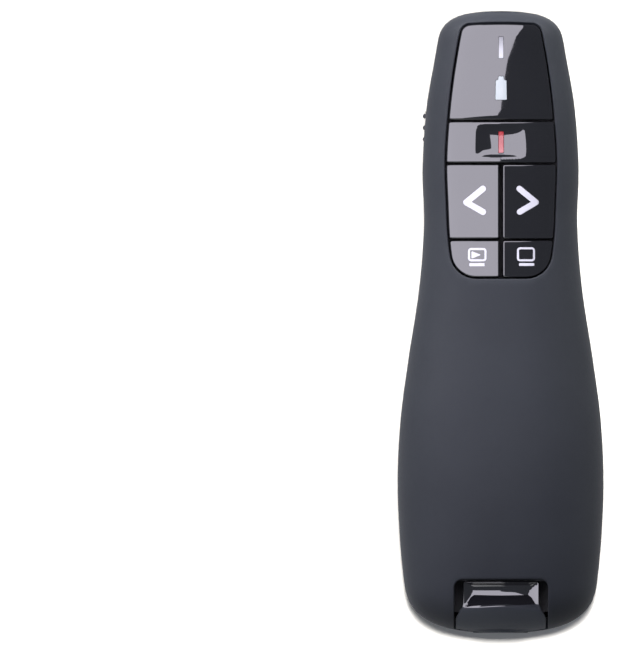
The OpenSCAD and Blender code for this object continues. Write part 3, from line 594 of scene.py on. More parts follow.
    def beside(self, seen: Array, side: Side, inset: float = 0.0) -> Array:
        """Charts of places seen from the left, as rows of y and z."""
        y = seen[:, 0] * self.half / (self.half - inset)
        share = np.abs(seen[:, 1] - self.joint) / (self.reach(y, side) - inset)
        turn = math.pi - np.arcsin(np.clip(share, 0, 1) ** (self.power / 2))
        return np.column_stack([self.unroll(y), (turn / (math.pi / 2) - 1) * self.spread])

    def outward(self, chart: Array, side: Side) -> Array:
        """Unit directions out of the surface at a chart's places."""
        step = 1e-3
        along = self.lay(chart + [step, 0], side) - self.lay(chart - [step, 0], side)
        over = self.lay(chart + [0, step], side) - self.lay(chart - [0, step], side)
        return unit(np.cross(along, over) * side.value)

    def skin_z(self, plan: Array, side: Side, inset: float = 0.0) -> Array:
        """Heights of one half's surface seen from above or below, at rows of x and y."""
        y = plan[:, 1] * self.half / (self.half - inset)
        share = np.clip(np.abs(plan[:, 0]) / (self.half_width(y) - inset), 0, 1)
        return self._height(y, (1 - share**self.power) ** (1 / self.power), side, inset)


CASE = CaseForm()


# ---- Outlines ----


def arc(x: float, y: float, radius: float, start: float, stop: float, count: int = 8) -> Array:
    """Points along an arc, in degrees."""
    turn = np.radians(np.linspace(start, stop, count + 1))
    return np.column_stack([x + radius * np.cos(turn), y + radius * np.sin(turn)])


def ring_tangents(points: Array) -> Array:
    """Unit directions along a closed row of points."""
    return unit(np.roll(points, -1, axis=0) - np.roll(points, 1, axis=0))


def grown(outline: Array, by: float) -> Array:
    """A closed outline that turns left, moved outwards."""
    along = ring_tangents(outline)
    return outline + by * np.column_stack([along[:, 1], -along[:, 0]])


def dense(outline: Array, step: float = 0.5) -> Array:
    """A closed outline with points added to its long sides."""
    made = []
    for here, there in zip(outline, np.roll(outline, -1, axis=0)):
        parts = max(1, math.ceil(float(np.linalg.norm(there - here)) / step))
        made.extend(here + (there - here) * k / parts for k in range(parts))
    return np.array(made)


def tidy_ring(outline: Array, least: float = 1e-4) -> Array:
    """A closed outline without doubled points."""
    gap = np.linalg.norm(outline - np.roll(outline, 1, axis=0), axis=1)
    return outline[gap > least]


def box_outline(x0: float, x1: float, y0: float, y1: float, radius: float, count: int = 5) -> Array:
    """A rectangle with rounded corners that turns left."""
    corners = ((x1, y0, -90), (x1, y1, 0), (x0, y1, 90), (x0, y0, 180))
    parts = []
    for x, y, start in corners:
        inner_x = x - radius if x == x1 else x + radius
        inner_y = y - radius if y == y1 else y + radius
        parts.append(arc(inner_x, inner_y, radius, start, start + 90, count))
    return tidy_ring(np.vstack(parts))


def round_outline(corners: Sequence[Pair], radius: float, count: int = 6) -> Array:
    """A polygon that turns left, with rounded corners."""
    points = np.array(corners, float)
    parts = []
    for before, here, after in zip(np.roll(points, 1, axis=0), points, np.roll(points, -1, axis=0)):
        a = (before - here) / np.linalg.norm(before - here)
        b = (after - here) / np.linalg.norm(after - here)
        half_turn = math.acos(float(np.clip(a @ b, -1, 1))) / 2
        reach = radius / math.tan(half_turn)
        centre = here + (a + b) / np.linalg.norm(a + b) * radius / math.sin(half_turn)
        p, q = here + a * reach - centre, here + b * reach - centre
        start = math.degrees(math.atan2(p[1], p[0]))
        sweep = (math.degrees(math.atan2(q[1], q[0])) - start) % 360
        if sweep > 180:
            sweep -= 360
        parts.append(arc(centre[0], centre[1], radius, start, start + sweep, count))
    return tidy_ring(np.vstack(parts))


def stroke(path: Sequence[Pair], width: float) -> Array:
    """Outline of a bent stroke of two arms with round ends, turning left."""
    a, b, c = (np.array(p, float) for p in path)
    r = width / 2
    first, second = (b - a) / np.linalg.norm(b - a), (c - b) / np.linalg.norm(c - b)
    turn = math.degrees(math.atan2(first[1], first[0]))
    turn2 = math.degrees(math.atan2(second[1], second[0]))
    bend = (turn2 - turn + 180) % 360 - 180
    inner = (first - second) / np.linalg.norm(first - second)
    reach = r / math.cos(math.radians(bend / 2))
    outer = arc(b[0], b[1], r, turn - 90, turn - 90 + bend) if bend > 0 else (b + inner * reach)[None]
    start = arc(a[0], a[1], r, turn + 90, turn + 270)
    end = arc(c[0], c[1], r, turn2 - 90, turn2 + 90)
    back = (b - inner * reach)[None] if bend > 0 else arc(b[0], b[1], r, turn2 + 90, turn + 90)
    return tidy_ring(np.vstack([start, outer, end, back]))


def blended(first: Array, second: Array, soft: float) -> Array:
    """The lower of two heights, rounded over where they differ by less than soft."""
    share = np.clip(0.5 + 0.5 * (first - second) / soft, 0, 1)
    return first + (second - first) * share - soft * share * (1 - share)


def inside(points: Array, outline: Array) -> Array:
    """Whether each point lies in a closed outline."""
    x, y = points[:, :1], points[:, 1:]
    x0, y0 = outline[:, 0], outline[:, 1]
    x1, y1 = np.roll(x0, -1), np.roll(y0, -1)
    spans = (y0 > y) != (y1 > y)
    with np.errstate(divide="ignore", invalid="ignore"):
        cross = x < (x1 - x0) * (y - y0) / (y1 - y0) + x0
    return np.count_nonzero(spans & cross, axis=1) % 2 == 1


def clearance(points: Array, outline: Array) -> Array:
    """Distance of each point from a closed outline."""
    least = np.full(len(points), np.inf)
    for a, b in zip(outline, np.roll(outline, -1, axis=0)):
        along = b - a
        t = np.clip(((points - a) @ along) / max(float(along @ along), 1e-18), 0, 1)
        least = np.minimum(least, np.linalg.norm(points - a - t[:, None] * along, axis=1))
    return least


@dataclass(frozen=True)
class PadForm:
    """Outline of the keypad island seen from above."""

    y0: float = 8.35
    y1: float = 55.35
    half: float = 10.15
    foot_corner: float = 4.6
    top_corner: float = 1.6
    top_arch: float = 0.26
    arch_long: float = 3.0
    arch_half: float = 7.0
    inner_corner: float = 0.35
    shares: Pairs = ((0, 0.85), (0.15, 0.945), (0.3, 0.98), (0.455, 1), (0.62, 0.955), (0.8, 0.86), (1, 0.705))

    def edge(self, y: Array) -> Array:
        """Half width of the island at y."""
        return self.half * smooth_curve(np.clip((y - self.y0) / (self.y1 - self.y0), 0, 1), self.shares)

    def lean(self, y: float) -> float:
        """Slope of the island's side at y."""
        before, after = self.edge(np.array([y - 0.05, y + 0.05]))
        return float((after - before) / 0.1)

    def _corner(self, y: float, radius: float, foot: bool, grow: float) -> Array:
        """Arc of a corner on the right side, from its foot to its top."""
        centre_y = y + radius if foot else y - radius
        slope = self.lean(centre_y)
        x = float(self.edge(np.array([centre_y]))[0]) - radius * math.sqrt(1 + slope * slope)
        side_turn = -math.degrees(math.atan(slope))
        turns = (-90.0, side_turn) if foot else (side_turn, 90.0)
        return arc(x, centre_y, radius + grow, *turns, count=10 if radius > 1 else 5)

    def outline(self, y0: float, y1: float, corners: Pair, grow: float = 0.0,
                middle: float | None = None) -> Array:
        """Outline of the island or of one key on it.

        Args:
            y0: Foot of the key.
            y1: Top of the key.
            corners: Radii of the foot's and the top's outer corners.
            grow: Distance that the outline is moved outwards.
            middle: Distance of a right-hand key's inner side from the middle line, or None for a key
                that spans the island.

        Returns:
            Points that turn left.
        """
        foot = self._corner(y0, corners[0], True, grow)
        top = self._corner(y1, corners[1], False, grow)
        ys = np.arange(y0 + corners[0] + 0.8, y1 - corners[1] - 0.4, 1.0)
        lean = np.array([self.lean(float(y)) for y in ys])
        stretch = np.sqrt(1 + lean**2)
        side = np.column_stack([self.edge(ys) + grow / stretch, ys - grow * lean / stretch])
        right = np.vstack([foot, side, top])
        if middle is None:
            left = right[::-1] * [-1, 1]
        else:
            r = self.inner_corner
            corners = ((y1 - r, 90), (y0 + r, 180))
            left = np.vstack([arc(middle + r, y, r + grow, turn, turn + 90, 5) for y, turn in corners])
        ring = dense(tidy_ring(np.vstack([right, left])), 0.9)
        near_top = np.clip((ring[:, 1] - self.y1 + self.arch_long) / self.arch_long, 0, 1)
        ring[:, 1] -= self.top_arch * near_top * (ring[:, 0] / self.arch_half) ** 2
        return ring


PAD = PadForm()


# ---- Meshes from rows and patches ----


@dataclass
class Row:
    """A closed row of mesh points with its places on a chart."""

    ids: Array
    chart: Array


@dataclass
class Draft:
    """Gathers the points and faces of one piece, in millimetres."""

    points: list[Array] = field(default_factory=list)
    faces: list[tuple[int, ...]] = field(default_factory=list)
    count: int = 0

    def add(self, points: Array) -> Array:
        """Adds points and gives their numbers."""
        self.points.append(np.asarray(points, float))
        self.count += len(points)
        return np.arange(self.count - len(points), self.count)

    def face(self, corners: Iterable[int]) -> None:
        """Adds one face."""
        self.faces.append(tuple(int(c) for c in corners))

    def strip(self, first: Array, second: Array) -> None:
        """Joins two closed rows of as many points."""
        for a, b, c, d in zip(first, np.roll(first, -1), np.roll(second, -1), second):
            self.face((a, b, c, d))

    def follow(self, previous: Array, points: Array) -> Array:
        """Adds a closed row that is joined to the one before, and gives its numbers."""
        ids = self.add(points)
        self.strip(previous, ids)
        return ids

    def roll(self, points: Array, edge: Callable[[float, float], Array], rounding: "Rounding") -> tuple[Array, Array]:
        """Adds a row and the rows of the rounded edge beside it.

        Args:
            points: The first row.
            edge: Gives each further row from how far out and how deep it lies.
            rounding: Form of the edge.

        Returns:
            Numbers of the first row and of the last.
        """
        first = last = self.add(points)
        for away, deep in rounding.stops():
            last = self.follow(last, edge(away, deep))
        return first, last

    def _support(self, surface: Surface, row: Row, by: float) -> Row:
        """Adds a row a little way into the surface, which keeps its shading even up to its edge."""
        turn = 1 if signed_area(row.chart) > 0 else -1
        chart = grown(row.chart, -by * turn)
        return Row(self.follow(row.ids, surface(chart)), chart)

    def patch(self, surface: Surface, outer: Row, holes: Sequence[Row] = (), seams: Sequence[Array] = (),
              step: float = 1.0, spots: Array | None = None, support: float = 0.0) -> None:
        """Fills a region of a chart with triangles laid on a surface.

        Args:
            surface: Turns chart places into space.
            outer: The region's outline.
            holes: Outlines of what stays open.
            seams: Closed chart outlines that the triangles' edges follow.
            step: Distance between inner points on the chart.
            spots: More chart places that become points.
            support: Distance of a row along every edge, or 0 for none.
        """
        rows = [outer, *holes]
        if support:
            rows = [self._support(surface, row, support if k == 0 else -support) for k, row in enumerate(rows)]
        charts = [row.chart for row in rows]
        ids = [row.ids for row in rows]
        borders = sum(len(chart) for chart in charts)
        for seam in seams:
            charts.append(seam)
            ids.append(self.add(surface(seam)))
        lines: list[tuple[int, int]] = []
        start = 0
        for ring in charts:
            n = len(ring)
            lines.extend((start + k, start + (k + 1) % n) for k in range(n))
            start += n
        region, openings = charts[0], charts[1 : len(rows)]
        low, high = region.min(0), region.max(0)
        lanes = np.arange(low[0] + step / 2, high[0], step * 0.9)
        inner = np.vstack([np.zeros((0, 2))] + [
            np.column_stack([np.full(len(hs), v), hs])
            for k, v in enumerate(lanes)
            for hs in [np.arange(low[1] + step * (0.25 + 0.5 * (k % 2)), high[1], step)]
        ])
        inner = inner[inside(inner, region)]
        for opening in openings:
            inner = inner[~inside(inner, opening)]
        for ring in charts:
            inner = inner[clearance(inner, ring) > min(step * 0.5, 0.5 * ring_step(ring) + 0.05)]
        if spots is not None and len(spots):
            gaps = np.min(np.linalg.norm(inner[:, None] - spots[None], axis=2), axis=1)
            inner = np.vstack([inner[gaps > 0.25], spots])
        if len(inner):
            charts.append(inner)
            ids.append(self.add(surface(inner)))
        flat, numbers = np.vstack(charts), np.concatenate(ids)
        flat = flat + np.random.default_rng(SEED).uniform(-JITTER, JITTER, flat.shape)
        ends = np.cumsum([0] + [len(chart) for chart in charts])
        region, *openings = (flat[ends[k] : ends[k + 1]] for k in range(len(rows)))
        verts, edges, faces, sources, edge_sources, _ = delaunay_2d_cdt(
            [Vector(p) for p in flat.tolist()], lines, [], 0, 1e-7, True)
        places = np.array([tuple(v) for v in verts])
        border = {frozenset(e) for e, lists in zip(edges, edge_sources) if any(k < borders for k in lists)}
        back = [numbers[n[0]] if n else self.add(surface(places[k : k + 1]))[0] for k, n in enumerate(sources)]
        triangles = [tuple(f) for f in faces if len(f) == 3]
        for group in _regions(triangles, border):
            widest = max(group, key=lambda k: _corner_area(places[list(triangles[k])]))
            middle = places[list(triangles[widest])].mean(0)[None]
            if _corner_area(places[list(triangles[widest])]) < 1e-4 or not inside(middle, region)[0]:
                continue
            if any(inside(middle, opening)[0] for opening in openings):
                continue
            for k in group:
                self.face(back[c] for c in triangles[k])

    def box(self, low: Tone, high: Tone, radius: float, steps: int = 1) -> None:
        """Adds a box with rounded edges.

        Args:
            low: Lowest corner.
            high: Highest corner.
            radius: Radius of the edges.
            steps: Steps around each edge.
        """
        work = bmesh.new()
        bmesh.ops.create_cube(work, size=1.0)
        for vert in work.verts:
            vert.co = Vector([low[k] if vert.co[k] < 0 else high[k] for k in range(3)])
        bmesh.ops.bevel(work, geom=list(work.edges), offset=radius, segments=steps, profile=0.5, affect="EDGES")
        work.verts.index_update()
        ids = self.add(np.array([tuple(v.co) for v in work.verts]))
        for face in work.faces:
            self.face(ids[v.index] for v in face.verts)
        work.free()

    def turned(self, centre: Tone, profile: Sequence[Pair], count: int) -> None:
        """Adds a solid turned about a line along Y.

        Args:
            centre: Point that the line passes through.
            profile: Closed row of radius and place along Y; a radius of 0 closes on the line.
            count: Steps around.
        """
        x, y, z = centre
        turn = np.linspace(0, 2 * math.pi, count, endpoint=False)
        rows = [
            self.add(np.column_stack([x + radius * np.cos(turn), level(y + along)(turn), z + radius * np.sin(turn)]))
            for radius, along in profile
        ]
        closed = profile[0][0] > 0
        for first, second in zip(rows, rows[1:] + rows[:1] if closed else rows[1:]):
            self.strip(first, second)

    def make(self, name: str, materials: Sequence[Material],
             pick: Callable[[Vector], int] | None = None) -> Object:
        """Turns the draft into an object.

        Args:
            name: The piece's name.
            materials: Its materials.
            pick: Gives the number of a face's material from its middle, in millimetres.

        Returns:
            The object, with its faces pointing outwards.
        """
        mesh = bpy.data.meshes.new(name)
        mesh.from_pydata((np.vstack(self.points) * MM).tolist(), [], self.faces)
        for material in materials:
            mesh.materials.append(material)
        return cleaned(mesh, CREASE, pick)


def placed(name: str, data: ID) -> Object:
    """A new object in the scene."""
    made = bpy.data.objects.new(name, data)
    bpy.context.scene.collection.objects.link(made)
    return made


def cleaned(mesh: Mesh, crease: float, pick: Callable[[Vector], int] | None = None) -> Object:
    """Welds a mesh, turns its faces outwards, marks its sharp edges and places it in the scene.

    Args:
        mesh: The mesh, named as its piece.
        crease: Angle in degrees from which an edge stays sharp.
        pick: Gives the number of a face's material from its middle, in millimetres.

    Returns:
        The object.
    """
    work = bmesh.new()
    work.from_mesh(mesh)
    bmesh.ops.remove_doubles(work, verts=work.verts, dist=WELD)
    bmesh.ops.dissolve_degenerate(work, edges=work.edges, dist=WELD / 2)
    bmesh.ops.delete(work, geom=[v for v in work.verts if not v.link_faces], context="VERTS")
    bmesh.ops.recalc_face_normals(work, faces=work.faces)
    if work.calc_volume(signed=True) < 0:
        bmesh.ops.reverse_faces(work, faces=work.faces)
    open_edges = 0
    for edge in work.edges:
        shared = len(edge.link_faces) == 2
        open_edges += not shared
        edge.smooth = shared and edge.calc_face_angle(math.pi) < math.radians(crease)
    for face in work.faces:
        face.smooth = True
        if pick:
            face.material_index = pick(face.calc_center_median() / MM)
    work.to_mesh(mesh)
    work.free()
    LOG.info("%s: %d faces, %d open edges", mesh.name, len(mesh.polygons), open_edges)
    return placed(mesh.name, mesh)


def _corner_area(corners: Array) -> float:
    """Area of a triangle."""
    (ax, ay), (bx, by), (cx, cy) = corners
    return abs((bx - ax) * (cy - ay) - (cx - ax) * (by - ay)) / 2


def _regions(triangles: Sequence[tuple[int, ...]], border: set[frozenset[int]]) -> Iterable[list[int]]:
    """Groups of triangles that hang together without crossing a border.

    Args:
        triangles: Corners of each triangle.
        border: Edges that part the groups.

    Returns:
        Numbers of the triangles in each group.
    """
    beside: dict[frozenset[int], list[int]] = {}
    for k, (a, b, c) in enumerate(triangles):
        for edge in (frozenset((a, b)), frozenset((b, c)), frozenset((c, a))):
            if edge not in border:
                beside.setdefault(edge, []).append(k)
    near: list[list[int]] = [[] for _ in triangles]
    for pair in beside.values():
        if len(pair) == 2:
            near[pair[0]].append(pair[1])
            near[pair[1]].append(pair[0])
    seen = [False] * len(triangles)
    for first in range(len(triangles)):
        if seen[first]:
            continue
        seen[first] = True
        group, waiting = [], [first]
        while waiting:
            here = waiting.pop()
            group.append(here)
            for there in near[here]:
                if not seen[there]:
                    seen[there] = True
                    waiting.append(there)
        yield group


def ring_step(ring: Array) -> float:
    """Middle distance between the points of a closed outline."""
    return float(np.median(np.linalg.norm(ring - np.roll(ring, 1, axis=0), axis=1)))


def leftwards(points: Array, normals: Array, turn: float) -> Array:
    """Unit directions in a surface to the left of a closed row; turn is -1 where its chart is mirrored."""
    return unit(np.cross(normals, ring_tangents(points)) * turn)


@dataclass(frozen=True)
class Rounding:
    """Rounded edge between a surface and the wall beside it."""

    radius: float = 0.2
    steps: int = 3

    def stops(self) -> list[Pair]:
        """How far out and how deep each further row of the edge lies."""
        turns = [math.pi / 2 * k / self.steps for k in range(1, self.steps + 1)]
        return [(self.radius * math.sin(t), self.radius * (1 - math.cos(t))) for t in turns]


@dataclass
class PlanSolid:
    """A closed piece with a shaped top, seen from above as an outline with holes."""

    top: Surface
    floor: Surface
    rounding: Rounding
    step: float
    hole_rounding: Rounding | None = None
    support: float = 0.0
    floor_step: float = 0.0

    def surface(self, chart: Array) -> Array:
        """Places of the top."""
        return np.column_stack([chart, self.top(chart)])

    def under(self, chart: Array) -> Array:
        """Places of the underside."""
        return np.column_stack([chart, self.floor(chart)])

    def _edge(self, draft: Draft, outline: Array, out: int, side: int) -> tuple[Row, Row]:
        """Rows from the top's edge to the underside's.

        Args:
            draft: Mesh that is added to.
            outline: Finished outline, turning left.
            out: 1 for the outer edge and -1 for a hole's.
            side: 1 where up is outwards and -1 where down is.

        Returns:
            The row on the top and the row on the underside.
        """
        rounding = self.rounding if out > 0 else self.hole_rounding or self.rounding
        start = grown(outline, -rounding.radius * out)

        def ring(away: float, deep: float) -> Array:
            """A row of the rounded edge."""
            return self.surface(grown(outline, (away - rounding.radius) * out)) - [0, 0, deep * side]

        first, last = draft.roll(self.surface(start), ring, rounding)
        return Row(first, start), Row(draft.follow(last, self.under(outline)), outline)

    def build(self, outline: Array, holes: Sequence[Array] = (), seams: Sequence[Array] = (), side: int = 1,
              draft: Draft | None = None) -> Draft:
        """Makes the piece.

        Args:
            outline: Outer outline, turning left.
            holes: Outlines of its openings, turning left.
            seams: Outlines on the top that its faces follow.
            side: 1 where its face looks up and -1 where it looks down.
            draft: Mesh to add to.

        Returns:
            The mesh.
        """
        draft = draft or Draft()
        top, foot = self._edge(draft, outline, 1, side)
        pairs = [self._edge(draft, hole, -1, side) for hole in holes]
        draft.patch(self.surface, top, [p[0] for p in pairs], seams, self.step, support=self.support)
        draft.patch(self.under, foot, [p[1] for p in pairs], (), self.floor_step or 3 * self.step)
        return draft


# ---- Geometry node trees ----


class Grower:
    """Builds one Geometry Nodes tree with named inputs and turns its result into a plain mesh."""

    def __init__(self, name: str, inputs: dict[str, tuple[str, Any]]) -> None:
        """Makes the tree.

        Args:
            name: Name of the tree.
            inputs: Socket type and value of each named input.
        """
        self.tree = bpy.data.node_groups.new(name, "GeometryNodeTree")
        self.values = {key: value for key, (_, value) in inputs.items()}
        self.tree.interface.new_socket("Geometry", in_out="OUTPUT", socket_type="NodeSocketGeometry")
        self.ids = {
            key: self.tree.interface.new_socket(key, in_out="INPUT", socket_type=kind).identifier
            for key, (kind, _) in inputs.items()
        }
        self.source = self.tree.nodes.new("NodeGroupInput")
        self.end = self.tree.nodes.new("NodeGroupOutput")

    def given(self, key: str) -> NodeSocket:
        """Socket of a named input."""
        return self.source.outputs[key]

    def out(self, kind: str, sockets: Inputs, **settings: Any) -> NodeSocket:
        """Adds a node, whose inputs take plain values or other sockets, and gives its first output."""
        return add_node(self.tree, kind, settings, sockets).outputs[0]

    def tube(self, path: NodeSocket, radius: str, corners: int) -> NodeSocket:
        """A capped tube along a curve; its radius is a named input."""
        ring = self.out("GeometryNodeCurvePrimitiveCircle", {"Resolution": corners, "Radius": self.given(radius)})
        return self.out("GeometryNodeCurveToMesh", {"Curve": path, "Profile Curve": ring, "Fill Caps": True})

    def grow(self, geometry: NodeSocket, material: Material, name: str) -> Object:
        """Closes the tree and makes the piece.

        Args:
            geometry: What the tree has made.
            material: The piece's material.
            name: The piece's name.

        Returns:
            A plain mesh object.
        """
        smooth = self.out("GeometryNodeSetShadeSmooth", {0: self.out("GeometryNodeRealizeInstances", {0: geometry})})
        dressed = self.out("GeometryNodeSetMaterial", {0: smooth, "Material": material})
        self.tree.links.new(dressed, self.end.inputs[0])
        holder = placed(name + "_source", bpy.data.meshes.new(name + "_source"))
        modifier = holder.modifiers.new("grow", "NODES")
        modifier.node_group = self.tree
        for key, value in self.values.items():
            modifier[self.ids[key]] = value
        bpy.context.view_layer.update()
        mesh = bpy.data.meshes.new_from_object(holder.evaluated_get(bpy.context.evaluated_depsgraph_get()))
        mesh.name = name
        holder.modifiers.remove(modifier)
        bpy.data.objects.remove(holder)
        return cleaned(mesh, GROWN_CREASE)


# ---- Dressing ----


@dataclass
class Workshop:
    """Shared materials, and the last step of every piece."""

    materials: dict[str, Material]

    def done(self, piece: Object, body: str, slot: str, *nodes: str) -> None:
        """Fastens a piece to its body.

        Args:
            piece: The finished object.
            body: Body that it moves with.
            slot: The record's material slot. Not used.
            nodes: Solids that it stands for.
        """
        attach(piece, body)
        if nodes:
            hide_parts(*nodes)
        LOG.info("%s rides on %s", piece.name, body)

    def finish(self, draft: Draft, name: str, body: str, slot: str, *nodes: str, material: str = "") -> None:
        """Makes a piece of one material and fastens it.

        Args:
            draft: Its mesh.
            name: Its name.
            body: Body that it moves with.
            slot: The record's material slot.
            nodes: Solids that it stands for.
            material: Its material, where that isn't named as the slot.
        """
        self.done(draft.make(name, [self.materials[material or slot]]), body, slot, *nodes)


# ---- Case ----


@dataclass
class SkinDraft(Draft):
    """Mesh of a piece of one half of the case, between its outer and its inner skin."""

    side: Side = Side.BACK

    def rolled(self, chart: Array, rounding: Rounding) -> tuple[Array, Array]:
        """Adds a rounded edge that leads in from the outer skin, and gives its first and last numbers."""
        points, normals = CASE.lay(chart, self.side), CASE.outward(chart, self.side)
        left = leftwards(points, normals, self.side.value)
        return self.roll(points, lambda away, deep: points + left * away - normals * deep, rounding)

    def hole(self, outer: Array, inner: Array, rim: Rounding) -> tuple[Row, Row]:
        """Adds the edge of an opening from its charts on the outer and the inner skin, and gives both rows."""
        first, last = self.rolled(outer, rim)
        return Row(first, outer), Row(self.follow(last, CASE.lay(inner, self.side, CASE.wall)), inner)

    def recess(self, outline: Array, deep: float, radius: float) -> Row:
        """A shallow recess with a floor of its own.

        Args:
            outline: Outline seen from above, turning left.
            deep: Depth of the floor under the skin.
            radius: Radius of the recess's edge.

        Returns:
            The row on the outer skin.
        """
        start, chart = CASE.over(grown(outline, radius)), CASE.over(outline)
        first, last = self.rolled(start, Rounding(radius, 2))

        def floor(places: Array) -> Array:
            """Places of the recess's floor."""
            return CASE.lay(places, self.side) - CASE.outward(places, self.side) * deep

        self.patch(floor, Row(self.follow(last, floor(chart)), chart), (), (), 1.6)
        return Row(first, start)

    def inner_skin(self, inner: Row, *holes: Row) -> None:
        """Fills the inner skin."""
        self.patch(lambda chart: CASE.lay(chart, self.side, CASE.wall), inner, holes, (), 2.2)


@dataclass
class CaseShells:
    """The two halves of the case and the battery door."""

    shop: Workshop
    seam: float = 0.1
    rim: Rounding = Rounding(0.2, 3)
    step: float = 1.05
    pad_gap: float = 0.35
    pad_under: Box = (48.0, 7.7, 0.07, 1.3)
    joint_steps: int = 150
    bore: float = 3.3
    bore_z: float = 10.2
    bore_steps: int = 24
    notch_half: float = 8.75
    notch_y: float = -47.7
    notch_z: float = 15.5466
    notch_corner: float = 1.6
    door_half: float = 12.35
    door_y: float = -3.65
    door_gap: float = 0.25
    door_corner: float = 1.5
    door_foot: float = 0.9
    # Points along each side of the door and of its opening, and on half the door's joint.
    side_steps: tuple[int, int] = (56, 46)
    door_joint_steps: int = 60
    arrow: Pairs = ((1.15, -4.8), (-1.15, -4.8), (0.0, -6.9))
    arrow_corner: float = 0.15
    arrow_deep: float = 0.3
    arrow_edge: float = 0.06
    label_y1: float = 46.15
    label_l: float = 22.4
    label_top: float = 8.4
    label_foot: float = 9.6
    label_corner: float = 1.6
    label_deep: float = 0.30
    label_edge: float = 0.12
    label_gap: float = 0.25
    label_t: float = 0.18
    label_lift: float = 0.002
    ink_t: float = 0.008
    ink_deep: float = 0.03
    keyline: Pair = (0.75, 1.05)
    rule_half: float = 0.2
    rules: Pairs = ((40.6, 6.2), (28.2, 7.0))
    dimple_xs: tuple[float, ...] = (-9.3, -4.7, 0.0, 4.7, 9.3)
    dimple_ys: tuple[float, ...] = (20.2, 15.9, 11.6, 7.1, 2.75, -1.5)
    door_dimple_ys: tuple[float, ...] = (-9.9, -14.1, -18.3, -22.5, -26.7, -30.9, -35.1)
    dimple_r: float = 0.48
    dimple_deep: float = 0.22
    dimple_rings: tuple[float, ...] = (1, 0.8, 0.5)
    pocket: Box = (30.75, 40.25, 6.9, 11.75)
    pocket_x: float = -13.1
    pocket_edge: Rounding = Rounding(0.1, 2)
    slot: Box = (32.75, 37.55, 8.3966, 10.3966)

    # -- rows --

    @staticmethod
    def _joint_run(start: float, stop: float, count: int) -> Array:
        """Charts along the right side's joint line between two values of v."""
        v = np.linspace(start, stop, count)
        tail, nose = CASE.ends()
        return np.column_stack([v, -CASE.spread * np.clip(np.where(v < 0, v - tail, nose - v) / CASE.flat_chart, 0, 1)])

    def _nose_gap(self, side: Side, inset: float, radius: float, lift: float) -> Array:
        """Charts along the bore's edge on one half, from its right end to its left."""
        low = math.asin((CASE.joint + side.value * lift - self.bore_z) / radius)
        turns = np.linspace(low, side.value * math.pi - low, self.bore_steps)
        faced = np.column_stack([radius * np.cos(turns), self.bore_z + radius * np.sin(turns)])
        return CASE.around(faced, 1, side, inset)

    @staticmethod
    def _tail_cross(half: float, inset: float) -> float:
        """Chart's v near the tail where the joint line is that far from the middle."""
        return float(CASE.around(np.array([[half, CASE.joint]]), -1, Side.BACK, inset)[0, 0])

    def _half_rows(self, draft: SkinDraft, start: float | None = None) -> tuple[Row, Row]:
        """Rows along a half's edge: the joint line, the bore and the door's opening.

        Args:
            draft: Mesh that is added to.
            start: Half the width of the door's opening, or None where the joint runs round the tail.

        Returns:
            The row on the outer skin and the row on the inner one.
        """
        side, rows = draft.side, []
        for inset, radius, raised in ((0.0, self.bore + self.seam, self.seam), (CASE.wall, self.bore, 0.0)):
            gap = self._nose_gap(side, inset, radius, raised)
            first = CASE.ends()[0] if start is None else self._tail_cross(start, inset)
            run = self._joint_run(first, float(gap[0, 0]), self.joint_steps)
            if start is None:
                rows.append([run[:-1], gap, (run[::-1] * [1, -1])[1:-1]])
            else:
                run[:, 1] = np.where(run[:, 0] < 0, -CASE.spread, run[:, 1])
                rest = self._door_rest(inset, self.rim.radius if inset == 0 else 0.0)
                rows.append([run[:-1], gap, (run[::-1] * [1, -1])[1:], rest])
        kinds = np.concatenate([np.full(len(part), k) for k, part in enumerate(rows[0])])
        joint, bore, rest = kinds % 2 == 0, kinds == 1, kinds == 3
        outer, inner = (np.vstack(parts) for parts in rows)
        points, normals = CASE.lay(outer, side), CASE.outward(outer, side)
        points[joint, 2] = CASE.joint + side.value * self.seam
        sunk = points.copy()
        sunk[joint] -= unit(normals[joint] * [1, 1, 0]) * self.seam
        sunk[joint, 2] = CASE.joint
        sunk[bore] -= unit((points[bore] - [0, 0, self.bore_z]) * [1, 0, 1]) * self.seam + [0, self.seam, 0]
        sunk[bore, 2] = side.value * np.maximum(side.value * sunk[bore, 2], side.value * CASE.joint)
        left = leftwards(points, normals, side.value)
        ids = last = draft.add(points)
        steps = self.rim.stops() if rest.any() else [(0.0, 0.0)]
        for k, (away, deep) in enumerate(steps, 1):
            ring = points + (sunk - points) * (k / len(steps))
            ring[rest] = (points - left * away - normals * deep)[rest]
            last = draft.follow(last, ring)
        inner_points = CASE.lay(inner, side, CASE.wall)
        inner_points[joint, 2] = CASE.joint
        return Row(ids, outer), Row(draft.follow(last, inner_points), inner)

    # -- front --

    def _notch_charts(self, grow: float, inset: float) -> Array:
        """Charts of the tail opening's outline, turning left."""
        side = np.array([[self.notch_half, self.notch_y - self.notch_corner], [self.notch_half, PAST_TAIL]])
        return tail_charts(side, self.notch_corner, self.notch_y, self.notch_z, grow, inset)

